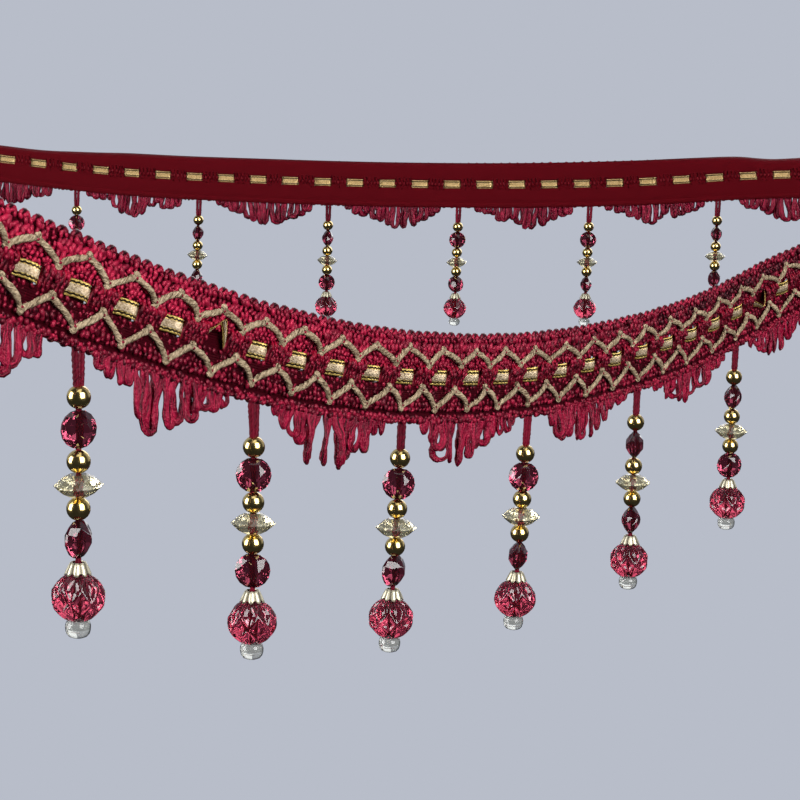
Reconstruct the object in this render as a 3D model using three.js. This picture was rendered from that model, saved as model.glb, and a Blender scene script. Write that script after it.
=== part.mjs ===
// Beaded fringe trim: a hung length of burgundy braid with a woven-in gold ribbon,
// two gold zigzag cords, scallops of looped yarn and a row of bead drops.
// Millimetres, +Z up. The origin is on the braid's top edge, where it is hung.
import * as THREE from 'three';

// One repeat of the trim: four ribbon boxes, one scallop and one bead drop.
const dropPitch = 67.9;
const boxPitch = dropPitch / 4;
const dropCount = 20;
const endLength = 3.7 * boxPitch;
const stripLength = (dropCount - 1) * dropPitch + 2 * endLength;
const boxCount = 83;
const firstBox = (stripLength - (boxCount - 1) * boxPitch) / 2 - 0.8;
const hangAt = 3 * dropPitch;

// Braid: two rails joined by bars in front of the ribbon and by bars behind it.
// Places across the braid are measured downwards, with its top edge at -1.
const braid = {
  top: -1,
  bottom: 21.2,
  halfThick: 1.2,
  edgeHalfThick: 0.9,
  barInside: 0.65,
  slotTop: 9.05,
  slotBottom: 13.65,
};
const boxShows = 8.1;
const ribbon = { top: 9.35, bottom: 13.35, halfThick: 0.3, boxOut: 1.0, floatOut: -0.35, dive: 4.8 };
const midLine = (ribbon.top + ribbon.bottom) / 2;

// Zigzag cords: laid on the front face, one period for each ribbon box.
const cord = { radius: 0.8, lift: 1.9, inRoll: 0.05 };
const cordLines = [
  { name: 'zigzag_upper', overBox: 3.9, overBar: 8.4, boxSlide: 'upperBox', barSlide: 'upperBar' },
  { name: 'zigzag_lower', overBox: 19.3, overBar: 14.6, boxSlide: 'lowerBox', barSlide: 'lowerBar' },
];

// The woven pattern lies unevenly: how far the ribbon's boxes and the cords' tips over
// boxes and over bars are moved along the trim.
const slides = [
  { along: 0, ribbon: -0.2, upperBox: 0, upperBar: 0, lowerBox: 0, lowerBar: -0.3 },
  { along: 70, ribbon: -0.3, upperBox: 0, upperBar: -0.6, lowerBox: 0, lowerBar: -0.1 },
  { along: 105, ribbon: -0.5, upperBox: 0, upperBar: -0.6, lowerBox: -1.4, lowerBar: -0.7 },
  { along: 140, ribbon: -0.8, upperBox: -0.3, upperBar: -0.2, lowerBox: -1.5, lowerBar: -0.5 },
  { along: 170, ribbon: -0.5, upperBox: 0.1, upperBar: 0.2, lowerBox: -2.2, lowerBar: -1.7 },
  { along: 200, ribbon: -1.4, upperBox: -1.6, upperBar: 0.6, lowerBox: -2.7, lowerBar: -1.4 },
  { along: 235, ribbon: -1.3, upperBox: -0.9, upperBar: -0.6, lowerBox: -3.0, lowerBar: -2.1 },
  { along: 265, ribbon: -1.8, upperBox: -1.7, upperBar: -1.0, lowerBox: -3.6, lowerBar: -1.9 },
  { along: 290, ribbon: -1.2, upperBox: 0.3, upperBar: 0, lowerBox: -2.6, lowerBar: -1.1 },
  { along: 320, ribbon: -0.6, upperBox: 1.0, upperBar: 0.9, lowerBox: -3.2, lowerBar: -1.2 },
  { along: 350, ribbon: 0.7, upperBox: 2.0, upperBar: 1.2, lowerBox: -3.4, lowerBar: -0.3 },
  { along: 380, ribbon: 1.1, upperBox: 3.4, upperBar: 3.0, lowerBox: -2.4, lowerBar: 0 },
  { along: 410, ribbon: 0.8, upperBox: 2.6, upperBar: 4.0, lowerBox: -1.6, lowerBar: -0.8 },
  { along: 440, ribbon: -0.2, upperBox: 1.6, upperBar: 4.4, lowerBox: -4.4, lowerBar: -1.4 },
  { along: 540, ribbon: 0, upperBox: 0, upperBar: 0, lowerBox: 0, lowerBar: 0 },
  { along: 900, ribbon: -5, upperBox: -5, upperBar: -5, lowerBox: -5, lowerBar: -5 },
  { along: 980, ribbon: -5, upperBox: -5, upperBar: -5, lowerBox: -5, lowerBar: -5 },
  { along: 1075, ribbon: -3.9, upperBox: -3.9, upperBar: -3.9, lowerBox: -3.9, lowerBar: -3.9 },
  { along: 1180, ribbon: -4.4, upperBox: -4.4, upperBar: -4.4, lowerBox: -4.4, lowerBar: -4.4 },
  { along: 1287, ribbon: -4.7, upperBox: -4.7, upperBar: -4.7, lowerBox: -4.7, lowerBar: -4.7 },
  { along: 1338, ribbon: -6.2, upperBox: -6.2, upperBar: -6.2, lowerBox: -6.2, lowerBar: -6.2 },
  { along: 1391, ribbon: -7.5, upperBox: -7.5, upperBar: -7.5, lowerBox: -7.5, lowerBar: -7.5 },
  { along: stripLength, ribbon: -8, upperBox: -8, upperBar: -8, lowerBox: -8, lowerBar: -8 },
];

// Fringe: one heading strip and one scallop of yarn loops between two drops.
const heading = { top: 21.5, bottom: 23.8, halfThick: 0.8, endGap: 0.15 };
const scallop = { width: 52, loopWidth: 4.4, legWidth: 1.5, shortest: 2.6 };
// How far each of a scallop's loops hangs below the place 23 down the braid.
const usualLoops = [4, 8.8, 12.4, 12, 8.4, 3.6];
const loopRows = [
  { number: 1, loops: [4, 8, 11.7, 13, 12.5, 10.4, 5.7] },
  { number: 2, loops: [4, 5.5, 13.8, 12.5, 10.7, 5.3, 3.8] },
  { number: 3, loops: [4.2, 7.5, 13, 13.4, 11.5, 9, 4.2] },
  { number: 4, loops: [4, 8.3, 12.3, 13, 7.7, 4.8, 3.8] },
  { number: 5, loops: [3.6, 9.4, 9.6, 11.2, 7.6, 3.4, 3.4] },
  { number: 6, loops: [3.4, 7, 8.5, 10.7, 7.2, 4.2, 3.4] },
  { number: 7, loops: [3.6, 6.5, 9.5, 10.3, 6.4, 5.6, 3.6] },
  { number: 15, loops: [4, 7, 10, 11.6, 8.6, 5.7, 3.4] },
  { number: 16, loops: [3.4, 6, 8.6, 10.8, 8.6, 4.2, 3.4] },
  { number: 17, loops: [3.6, 7, 12, 11.5, 8.8, 4.1, 3.4] },
  { number: 18, loops: [3.6, 7.5, 11, 12.3, 8.7, 5.7, 3.8] },
  { number: 19, loops: [4.4, 8.6, 11.8, 12.6, 10.2, 5.9, 3.4] },
  { number: 20, loops: [4, 7, 9.4, 12, 9.9, 4.2, 3.4] },
  { number: 21, loops: [5, 6.6, 10.5, 12, 11, 8, 4] },
];

// Bead drop, measured downwards from the place 23 down the braid: the radius of each
// section, and how thin the lens beads are across.
const dropFrom = 23;
const dropSides = 6;
const threadRoot = { below: 0.3, halfWide: 1.7, halfThick: 0.5 };
const dropRings = [
  { bead: 'threads', below: 8.3, radius: 0.6, thin: 1 },
  { bead: 'gold', below: 10.9, radius: 2.6, thin: 1 },
  { bead: 'neck', below: 13.4, radius: 0.6, thin: 1 },
  { bead: 'lens', below: 16.0, radius: 3.8, thin: 0.67 },
  { bead: 'lens', below: 19.3, radius: 3.8, thin: 0.67 },
  { bead: 'neck', below: 21.7, radius: 0.6, thin: 1 },
  { bead: 'gold', below: 24.2, radius: 2.6, thin: 1 },
  { bead: 'neck', below: 26.7, radius: 0.7, thin: 1 },
  { bead: 'rondelle', below: 29.2, radius: 5.4, thin: 1 },
  { bead: 'neck', below: 31.7, radius: 0.7, thin: 1 },
  { bead: 'gold', below: 34.2, radius: 2.6, thin: 1 },
  { bead: 'neck', below: 36.7, radius: 0.6, thin: 1 },
  { bead: 'secondLens', below: 39.1, radius: 3.8, thin: 0.67 },
  { bead: 'secondLens', below: 42.4, radius: 3.8, thin: 0.67 },
  { bead: 'cap', below: 44.7, radius: 0.9, thin: 1 },
  { bead: 'cap', below: 48.0, radius: 2.9, thin: 1 },
  { bead: 'ball', below: 50.5, radius: 5.7, thin: 1 },
  { bead: 'ball', below: 56.0, radius: 5.7, thin: 1 },
  { bead: 'neck', below: 59.1, radius: 1.7, thin: 1 },
  { bead: 'end', below: 60.8, radius: 2.7, thin: 1 },
  { bead: 'end', below: 62.3, radius: 1.3, thin: 1 },
];

// How the drops differ: shifted along the trim, longer threads, degrees of sway
// towards +X, and the turn of each lens bead from lying flat to the front.
const dropRows = [
  { number: 1, shift: 4.2, longer: 1.8, sway: 0.6, lens: 35, secondLens: 60 },
  { number: 2, shift: 1.9, longer: 0.9, sway: 0.8, lens: 5, secondLens: 0 },
  { number: 3, shift: 0, longer: -0.4, sway: -1.3, lens: 0, secondLens: 50 },
  { number: 4, shift: -1.2, longer: 0.3, sway: -1.7, lens: 5, secondLens: 88 },
  { number: 5, shift: -1.1, longer: 0.6, sway: 0, lens: 80, secondLens: 65 },
  { number: 6, shift: 0.7, longer: -0.4, sway: 0, lens: 65, secondLens: 15 },
  { number: 15, shift: 2.1, longer: 0, sway: 0, lens: 70, secondLens: 40 },
  { number: 20, shift: -3.9, longer: 0, sway: 0, lens: 20, secondLens: 60 },
];

// The hung line of the ribbon: heading in plan (0 along +X, 90 along +Y) and height,
// at places along the trim. The front run sags, the turn is level, the back run sags.
const headings = [
  { along: 0, degrees: 55 },
  { along: 120, degrees: 57 },
  { along: 250, degrees: 58 },
  { along: 402, degrees: 57 },
  { along: 470, degrees: 47 },
  { along: 560, degrees: 49 },
  { along: 650, degrees: 60 },
  { along: 740, degrees: 79 },
  { along: 830, degrees: 106 },
  { along: 920, degrees: 139 },
  { along: 1013, degrees: 170 },
  { along: 1200, degrees: 177 },
  { along: stripLength, degrees: 177 },
];
const heights = [
  { along: 0, height: 59.5 },
  { along: 50, height: 42.6 },
  { along: 115, height: 23.4 },
  { along: 180, height: 9.3 },
  { along: 250, height: 1.2 },
  { along: 315, height: -0.3 },
  { along: 380, height: 3.5 },
  { along: 450, height: 15 },
  { along: 510, height: 24 },
  { along: 600, height: 29.5 },
  { along: 710, height: 26 },
  { along: 820, height: 24 },
  { along: 900, height: 28 },
  { along: 980, height: 24.8 },
  { along: 1060, height: 17.3 },
  { along: 1140, height: 13 },
  { along: 1240, height: 11.4 },
  { along: 1330, height: 12.9 },
  { along: stripLength, height: 19.5 },
];

// The upper part of the back run rolls away from its reverse face: how far down the
// braid the roll begins, the radius of its bend in millimetres and its whole angle.
const rolls = [
  { along: 0, from: -2 },
  { along: 860, from: -2 },
  { along: 930, from: 4 },
  { along: 985, from: 7.6 },
  { along: 1006, from: 5.4 },
  { along: 1022, from: 4.6 },
  { along: 1050, from: 3.4 },
  { along: 1080, from: 2.8 },
  { along: 1115, from: 2.7 },
  { along: 1150, from: 3.3 },
  { along: 1190, from: 3.8 },
  { along: 1250, from: 4.1 },
  { along: 1289, from: 4.9 },
  { along: 1321, from: 5.5 },
  { along: 1338, from: 6.5 },
  { along: 1354, from: 7.6 },
  { along: 1370, from: 8.7 },
  { along: 1391, from: 8.9 },
  { along: stripLength, from: 8.9 },
];
const roll = { setsIn: 865, highest: 0.5, radius: 3.5, most: THREE.MathUtils.degToRad(100) };

const finishes = {
  braid: new THREE.MeshStandardMaterial({ color: 0x7d1530, roughness: 0.62 }),
  ribbon: new THREE.MeshStandardMaterial({ color: 0xd9bf7a, roughness: 0.3, metalness: 0.8 }),
  cord: new THREE.MeshStandardMaterial({ color: 0xc4ab7a, roughness: 0.55 }),
  yarn: new THREE.MeshStandardMaterial({ color: 0x96193a, roughness: 0.5 }),
  beads: new THREE.MeshStandardMaterial({ color: 0x8e2038, roughness: 0.12 }),
};

// A smooth curve through the rows of a table, with each row's slope taken from
// its two neighbours.
function tableCurve(rows, column) {
  const slopes = rows.map((row, i) => {
    const before = rows[Math.max(i - 1, 0)];
    const after = rows[Math.min(i + 1, rows.length - 1)];
    return (after[column] - before[column]) / (after.along - before.along);
  });
  return (along) => {
    let i = 0;
    while (i < rows.length - 2 && along > rows[i + 1].along) i += 1;
    const span = rows[i + 1].along - rows[i].along;
    const t = (along - rows[i].along) / span;
    const start = rows[i][column] * (2 * t ** 3 - 3 * t ** 2 + 1);
    const end = rows[i + 1][column] * (3 * t ** 2 - 2 * t ** 3);
    const leave = slopes[i] * span * (t ** 3 - 2 * t ** 2 + t);
    const arrive = slopes[i + 1] * span * (t ** 3 - t ** 2);
    return start + end + leave + arrive;
  };
}

const headingAt = tableCurve(headings, 'degrees');
const heightAt = tableCurve(heights, 'height');

// The trim's own axes at a place along it: forward, down across the braid, and out
// of the face that carries the cords.
function stripAxes(along) {
  const turn = THREE.MathUtils.degToRad(headingAt(along));
  const rise = heightAt(along + 0.5) - heightAt(along - 0.5);
  const run = Math.sqrt(1 - rise * rise);
  return {
    forward: new THREE.Vector3(run * Math.cos(turn), run * Math.sin(turn), rise),
    down: new THREE.Vector3(rise * Math.cos(turn), rise * Math.sin(turn), -run),
    out: new THREE.Vector3(Math.sin(turn), -Math.cos(turn), 0),
  };
}

// Plan places of the ribbon's line, stepped along the trim a millimetre at a time.
const steps = Math.ceil(stripLength);
const plan = [new THREE.Vector2(0, 0)];
for (let i = 1; i <= steps; i += 1) {
  const { forward } = stripAxes(Math.min(i - 0.5, stripLength - 0.5));
  plan.push(new THREE.Vector2(plan[i - 1].x + forward.x, plan[i - 1].y + forward.y));
}

function linePoint(along) {
  const i = Math.min(Math.floor(along), steps - 1);
  const flat = plan[i].clone().lerp(plan[i + 1], along - i);
  return new THREE.Vector3(flat.x, flat.y, heightAt(along));
}

// Above the line where the roll begins the braid runs round an arc, then on straight.
const rollFrom = tableCurve(rolls, 'from');

function rolled(along, down, out) {
  const past = Math.max(rollFrom(along) - down, 0);
  const angle = Math.min(past / roll.radius, roll.most);
  const straight = past - angle * roll.radius;
  const [sine, cosine] = [Math.sin(angle), Math.cos(angle)];
  return {
    down: down + past - roll.radius * sine - straight * cosine + out * sine,
    out: roll.radius * (1 - cosine) + straight * sine + out * cosine,
  };
}

// A point of the trim: along its length, down across it, out from its middle.
function rawPoint(along, down, out) {
  const axes = stripAxes(along);
  const place = rolled(along, down, out);
  return linePoint(along)
    .addScaledVector(axes.down, place.down - midLine)
    .addScaledVector(axes.out, place.out);
}

const hangPoint = rawPoint(hangAt, braid.top, 0);

function place(along, down, out) {
  return rawPoint(along, down, out).sub(hangPoint);
}

// Gathers points and faces of one closed solid.
class Solid {
  constructor() {
    this.points = [];
    this.faces = [];
  }

  point(vector) {
    this.points.push(vector);
    return this.points.length - 1;
  }

  // A triangle with one point twice is left out.
  triangle(a, b, c) {
    if (a !== b && b !== c && c !== a) this.faces.push(a, b, c);
  }

  quad(a, b, c, d) {
    this.triangle(a, b, c);
    this.triangle(a, c, d);
  }

  // A tube through rings of point numbers, all turned the same way, closed at both ends.
  tube(rings) {
    const sides = rings[0].length;
    for (let i = 1; i < rings.length; i += 1) {
      for (let j = 0; j < sides; j += 1) {
        const k = (j + 1) % sides;
        this.quad(rings[i - 1][j], rings[i - 1][k], rings[i][k], rings[i][j]);
      }
    }
    this.cap([...rings[0]].reverse());
    this.cap(rings[rings.length - 1]);
  }

  cap(ring) {
    for (let j = 1; j < ring.length - 1; j += 1) this.triangle(ring[0], ring[j], ring[j + 1]);
  }

  // A band of triangles between two lines of { along, index } rows.
  lace(first, second) {
    let i = 0;
    let j = 0;
    while (i < first.length - 1 || j < second.length - 1) {
      const stepFirst = j === second.length - 1
        || (i < first.length - 1 && first[i + 1].along <= second[j + 1].along);
      if (stepFirst) {
        this.triangle(first[i].index, second[j].index, first[i + 1].index);
        i += 1;
      } else {
        this.triangle(first[i].index, second[j].index, second[j + 1].index);
        j += 1;
      }
    }
  }

  mesh(name, material) {
    const geometry = new THREE.BufferGeometry();
    const flat = this.points.flatMap((point) => [point.x, point.y, point.z]);
    geometry.setAttribute('position', new THREE.Float32BufferAttribute(flat, 3));
    geometry.setIndex(this.faces);
    geometry.computeVertexNormals();
    const mesh = new THREE.Mesh(geometry, material);
    mesh.name = name;
    return mesh;
  }
}

const evenPlace = (index) => firstBox + index * boxPitch;
const ribbonSlide = tableCurve(slides, 'ribbon');

function boxCentre(index) {
  return evenPlace(index) + ribbonSlide(evenPlace(index));
}

// Braid: at every box the rails are joined behind the ribbon, and everywhere else
// in front of it, so the ribbon is woven through.
function makeBraid() {
  const solid = new Solid();
  const { halfThick, edgeHalfThick, barInside } = braid;
  const levels = [-halfThick, -barInside, barInside, halfThick];
  const innerPlaces = [0];
  const outerPlaces = [0];
  for (let i = 0; i < boxCount; i += 1) {
    innerPlaces.push(boxCentre(i) - boxShows / 2, boxCentre(i) + boxShows / 2);
    outerPlaces.push(boxCentre(i));
  }
  innerPlaces.push(stripLength);
  outerPlaces.push(stripLength);

  const rail = (slotEdge, outerEdge) => ({
    inner: innerPlaces.map((along) => levels.map((out) => solid.point(place(along, slotEdge, out)))),
    outer: outerPlaces.map((along) => [-edgeHalfThick, edgeHalfThick]
      .map((out) => solid.point(place(along, outerEdge, out)))),
  });
  const upper = rail(braid.slotTop, braid.top);
  const lower = rail(braid.slotBottom, braid.bottom);
  const line = (places, points, column) => places.map((along, i) => ({ along, index: points[i][column] }));

  // Where the upper rail is rolled it has two more lines of points, one where the roll
  // begins and one halfway from there to the top edge.
  const bent = outerPlaces.findIndex((along) => along > roll.setsIn);
  const bentPlaces = outerPlaces.slice(bent);
  const [low, high] = [0, 0.5].map((share) => bentPlaces.map((along) => {
    const begins = Math.max(rollFrom(along), roll.highest);
    const down = begins + share * (braid.top - begins);
    const thin = (halfThick - edgeHalfThick) * (braid.slotTop - down) / (braid.slotTop - braid.top);
    return [thin - halfThick, halfThick - thin].map((out) => solid.point(place(along, down, out)));
  }));
  const upperLines = (column) => {
    const edge = line(outerPlaces, upper.outer, column);
    const before = edge.slice(0, bent);
    const start = before[bent - 1];
    return {
      edge: edge.slice(bent - 1),
      halfway: [start, ...line(bentPlaces, high, column)],
      begins: [start, ...line(bentPlaces, low, column)],
      nearest: [...before, ...line(bentPlaces, low, column)],
    };
  };
  const [rear, face] = [upperLines(0), upperLines(1)];

  // Front and back faces of both rails, and their outer edges.
  solid.lace(face.edge, face.halfway);
  solid.lace(face.halfway, face.begins);
  solid.lace(face.nearest, line(innerPlaces, upper.inner, 3));
  solid.lace(rear.halfway, rear.edge);
  solid.lace(rear.begins, rear.halfway);
  solid.lace(line(innerPlaces, upper.inner, 0), rear.nearest);
  solid.lace(line(innerPlaces, lower.inner, 3), line(outerPlaces, lower.outer, 1));
  solid.lace(line(outerPlaces, lower.outer, 0), line(innerPlaces, lower.inner, 0));
  for (let i = 1; i < outerPlaces.length; i += 1) {
    const [u0, u1] = [upper.outer[i - 1], upper.outer[i]];
    const [l0, l1] = [lower.outer[i - 1], lower.outer[i]];
    solid.quad(u0[0], u0[1], u1[1], u1[0]);
    solid.quad(l0[1], l0[0], l1[0], l1[1]);
  }

  // Slot walls and bars. A bar takes the place of the wall that it grows from.
  for (let i = 1; i < innerPlaces.length; i += 1) {
    const inFront = i % 2 === 1;
    const barLevel = inFront ? 2 : 0;
    const [u0, u1] = [upper.inner[i - 1], upper.inner[i]];
    const [l0, l1] = [lower.inner[i - 1], lower.inner[i]];
    for (let level = 0; level < 3; level += 1) {
      if (level === barLevel) continue;
      solid.quad(u0[level], u1[level], u1[level + 1], u0[level + 1]);
      solid.quad(l0[level + 1], l1[level + 1], l1[level], l0[level]);
    }
    const [back, front] = [barLevel, barLevel + 1];
    solid.quad(u0[front], l0[front], l1[front], u1[front]);
    solid.quad(u1[back], l1[back], l0[back], u0[back]);
    solid.quad(u0[back], l0[back], l0[front], u0[front]);
    solid.quad(u1[front], l1[front], l1[back], u1[back]);
  }

  // Cut ends of the rails.
  const end = (side, i, k) => [side.outer[k][1], side.outer[k][0], ...side.inner[i]];
  solid.cap(end(upper, 0, 0));
  solid.cap(end(lower, 0, 0).reverse());
  const [topEnd, highEnd, lowEnd] = [upper.outer, high, low].map((points) => points[points.length - 1]);
  solid.quad(topEnd[1], highEnd[1], highEnd[0], topEnd[0]);
  solid.quad(highEnd[1], lowEnd[1], lowEnd[0], highEnd[0]);
  solid.cap([lowEnd[1], ...[...upper.inner[innerPlaces.length - 1]].reverse(), lowEnd[0]]);
  solid.cap(end(lower, innerPlaces.length - 1, outerPlaces.length - 1));
  return solid.mesh('braid', finishes.braid);
}

// A flat-sided cord or ribbon through rows of { along, down, out }, with the same
// section of [down, out] corners at each row.
function sweep(name, rows, section, material) {
  const solid = new Solid();
  const rings = rows.map((row) => section
    .map(([down, out]) => solid.point(place(row.along, row.down + down, row.out + out))));
  solid.tube(rings);
  return solid.mesh(name, material);
}

// Ribbon: arched forwards in each box, and behind the bars between the boxes.
function makeRibbon() {
  const halfWide = (ribbon.bottom - ribbon.top) / 2;
  const section = [
    [-halfWide, -ribbon.halfThick],
    [-halfWide, ribbon.halfThick],
    [halfWide, ribbon.halfThick],
    [halfWide, -ribbon.halfThick],
  ];
  const rows = [{ along: 0, down: midLine, out: ribbon.floatOut }];
  for (let i = 0; i < boxCount; i += 1) {
    rows.push({ along: boxCentre(i) - ribbon.dive, down: midLine, out: ribbon.floatOut });
    rows.push({ along: boxCentre(i), down: midLine, out: ribbon.boxOut });
    rows.push({ along: boxCentre(i) + ribbon.dive, down: midLine, out: ribbon.floatOut });
  }
  rows.push({ along: stripLength, down: midLine, out: ribbon.floatOut });
  return sweep('ribbon', rows, section, finishes.ribbon);
}

// Zigzag cord: one tip over each box and one over each bar between two boxes.
function makeZigzag({ name, overBox, overBar, boxSlide, barSlide }) {
  const section = [90, 210, 330].map((degrees) => {
    const angle = THREE.MathUtils.degToRad(degrees);
    return [-cord.radius * Math.cos(angle), cord.radius * Math.sin(angle)];
  });
  const overBoxes = tableCurve(slides, boxSlide);
  const overBars = tableCurve(slides, barSlide);
  const lift = (along) => cord.lift + cord.inRoll * Math.max(rollFrom(along), 0);
  const tip = (even, slide, down) => ({ along: even + slide(even), down, out: lift(even) });
  const rows = [{ along: evenPlace(-0.5), down: overBar, out: cord.lift }];
  for (let i = 0; i < boxCount; i += 1) {
    rows.push(tip(evenPlace(i), overBoxes, overBox));
    rows.push(tip(evenPlace(i + 0.5), overBars, overBar));
  }
  return sweep(name, rows, section, finishes.cord);
}

// An even spread of numbers from -1 to 1, the same on every run.
function uneven(seed) {
  const value = Math.sin(seed * 12.9898) * 43758.5453;
  return 2 * (value - Math.floor(value)) - 1;
}

// Yarn hangs halfway between square to the braid and plumb.
function hangFrom(along, down, out, length) {
  const axes = stripAxes(along);
  const direction = axes.down.clone().add(new THREE.Vector3(0, 0, -1)).normalize();
  return place(along, down, out).addScaledVector(direction, length);
}

// One scallop: a heading strip from drop to drop, with loops of yarn. Each loop is one three-sided strand whose two feet
// are parts of the strip's lower face.
function makeScallop(number, start, end, middle) {
  const solid = new Solid();
  const { top, bottom, halfThick } = heading;
  const { width, loopWidth, legWidth, shortest } = scallop;
  const depths = loopRows.find((row) => row.number === number)?.loops
    ?? usualLoops.map((depth, i) => depth + 0.8 * uneven(number * 31 + i * 7));
  const loops = depths.length;
  const front = [];
  const back = [];
  const foot = (list, along, out) => {
    const index = solid.point(place(along, bottom, out));
    list.push({ along, index });
    return index;
  };
  foot(front, start, halfThick);
  foot(back, start, -halfThick);
  const step = (width - loopWidth) / (loops - 1);
  for (let i = 0; i < loops; i += 1) {
    const seed = number * 31 + i * 7;
    const centre = middle + (i - (loops - 1) / 2) * step;
    const length = Math.max(depths[i] + dropFrom - bottom, shortest);
    const sway = uneven(seed + 1);
    const forward = 1.4 * uneven(seed + 2);
    const hang = (side, drop, out) => {
      return solid.point(hangFrom(centre + side + sway, bottom, forward + out, drop));
    };
    const half = loopWidth / 2;
    const outer = [
      foot(front, centre - half, halfThick),
      hang(0.35 - half, length, 0.6),
      hang(half - 0.35, length, 0.6),
    ];
    const inner = [
      foot(front, centre - half + legWidth, halfThick),
      hang(0.7 * legWidth - half + 0.5, length - 1.5, 0.6),
      hang(half - 0.7 * legWidth - 0.5, length - 1.5, 0.6),
      foot(front, centre + half - legWidth, halfThick),
    ];
    outer.push(foot(front, centre + half, halfThick));
    const behind = [
      foot(back, centre - (half - legWidth / 2), -halfThick),
      hang(legWidth / 2 - half, length - 0.7, -0.7),
      hang(half - legWidth / 2, length - 0.7, -0.7),
      foot(back, centre + (half - legWidth / 2), -halfThick),
    ];
    for (let k = 1; k < 4; k += 1) {
      solid.quad(outer[k - 1], outer[k], inner[k], inner[k - 1]);
      solid.quad(inner[k - 1], inner[k], behind[k], behind[k - 1]);
      solid.quad(behind[k - 1], behind[k], outer[k], outer[k - 1]);
    }
  }
  foot(front, end, halfThick);
  foot(back, end, -halfThick);

  // The lower face around the feet: between them it is closed with triangles.
  for (let i = 0; i < loops; i += 1) {
    const f = 1 + 4 * i;
    const b = 1 + 2 * i;
    solid.triangle(front[f - 1].index, back[b - 1].index, front[f].index);
    solid.triangle(front[f].index, back[b - 1].index, back[b].index);
    solid.triangle(front[f + 1].index, back[b].index, front[f + 2].index);
    solid.triangle(front[f + 2].index, back[b].index, back[b + 1].index);
  }
  const lastFront = front.length - 1;
  const lastBack = back.length - 1;
  solid.quad(front[lastFront - 1].index, back[lastBack - 1].index, back[lastBack].index, front[lastFront].index);

  // Upper edge, front, back and the two cut ends.
  const topStep = Math.ceil((end - start) / boxPitch);
  const topFront = [];
  const topBack = [];
  for (let i = 0; i <= topStep; i += 1) {
    const along = start + ((end - start) * i) / topStep;
    topFront.push({ along, index: solid.point(place(along, top, halfThick)) });
    topBack.push({ along, index: solid.point(place(along, top, -halfThick)) });
  }
  solid.lace(topFront, front);
  solid.lace(back, topBack);
  solid.lace(topBack, topFront);
  solid.quad(topBack[0].index, back[0].index, front[0].index, topFront[0].index);
  solid.quad(
    topFront[topStep].index,
    front[lastFront].index,
    back[lastBack].index,
    topBack[topStep].index,
  );
  return solid.mesh(`fringe_${String(number).padStart(2, '0')}`, finishes.yarn);
}

function dropRow(number) {
  return dropRows.find((row) => row.number === number) ?? {
    shift: 0,
    longer: 0.6 * uneven(number * 5),
    sway: 0.6 * uneven(number * 5 + 3),
    lens: 90 * uneven(number * 5 + 1),
    secondLens: 90 * uneven(number * 5 + 2),
  };
}

// One bead drop on its two threads, hanging from a root that lies along the strip's
// edge. The lens beads are turned differently on every drop.
function makeDrop(number) {
  const solid = new Solid();
  const row = dropRow(number);
  const along = endLength + (number - 1) * dropPitch + row.shift;
  const anchor = place(along, dropFrom, 0);
  const facing = THREE.MathUtils.degToRad(headingAt(along));
  const lean = Math.tan(THREE.MathUtils.degToRad(row.sway));
  const angles = [];
  for (let j = 0; j < dropSides; j += 1) angles.push(-(2 * Math.PI * j) / dropSides);
  const root = angles.map((angle) => {
    const wide = threadRoot.halfWide * Math.cos(angle);
    const across = threadRoot.halfThick * Math.sin(angle);
    return solid.point(place(along + wide, heading.bottom + threadRoot.below, -across));
  });
  const rings = dropRings.map(({ bead, below, radius, thin }) => {
    const turn = THREE.MathUtils.degToRad(row[bead] ?? 0);
    const low = below + row.longer;
    return angles.map((step) => {
      const angle = facing + step;
      const wide = radius * Math.cos(angle - turn);
      const across = radius * thin * Math.sin(angle - turn);
      return solid.point(new THREE.Vector3(
        anchor.x + low * lean + wide * Math.cos(turn) - across * Math.sin(turn),
        anchor.y + wide * Math.sin(turn) + across * Math.cos(turn),
        anchor.z - low,
      ));
    });
  });
  solid.tube([root, ...rings]);
  return solid.mesh(`drop_${String(number).padStart(2, '0')}`, finishes.beads);
}

const trim = new THREE.Group();
trim.add(makeBraid(), makeRibbon());
for (const line of cordLines) trim.add(makeZigzag(line));
for (let i = 0; i <= dropCount; i += 1) {
  const before = endLength + (i - 1) * dropPitch;
  const start = i === 0 ? 0 : before + heading.endGap;
  const end = i === dropCount ? stripLength : before + dropPitch - heading.endGap;
  trim.add(makeScallop(i + 1, start, end, before + dropPitch / 2));
}
for (let number = 1; number <= dropCount; number += 1) trim.add(makeDrop(number));

export default trim;
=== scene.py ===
import math

import bpy
import numpy as np
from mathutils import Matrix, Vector


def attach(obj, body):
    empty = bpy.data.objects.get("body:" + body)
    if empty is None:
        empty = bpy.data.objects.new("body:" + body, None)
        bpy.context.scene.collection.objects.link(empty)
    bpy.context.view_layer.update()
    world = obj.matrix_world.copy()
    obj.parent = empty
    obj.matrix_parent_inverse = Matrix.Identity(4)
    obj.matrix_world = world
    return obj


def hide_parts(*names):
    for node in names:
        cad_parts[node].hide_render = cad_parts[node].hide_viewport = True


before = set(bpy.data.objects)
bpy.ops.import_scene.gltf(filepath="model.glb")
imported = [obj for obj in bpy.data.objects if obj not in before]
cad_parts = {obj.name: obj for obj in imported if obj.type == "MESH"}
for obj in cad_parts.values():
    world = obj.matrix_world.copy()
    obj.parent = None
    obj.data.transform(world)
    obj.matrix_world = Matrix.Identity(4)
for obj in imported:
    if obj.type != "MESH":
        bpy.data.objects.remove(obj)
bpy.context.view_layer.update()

millimetre = 0.001
scene = bpy.context.scene
print("frame loaded:", len(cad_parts), "solids")

# Beaded fringe trim, hung. Lengths in the dictionaries are millimetres, angles are degrees.

# Camera

eye = {"place": (-5.15, -651.68, 82.1), "pitch": -8.8, "roll": 1.94, "lens": 112.5, "sensor": 36.0}


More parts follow.
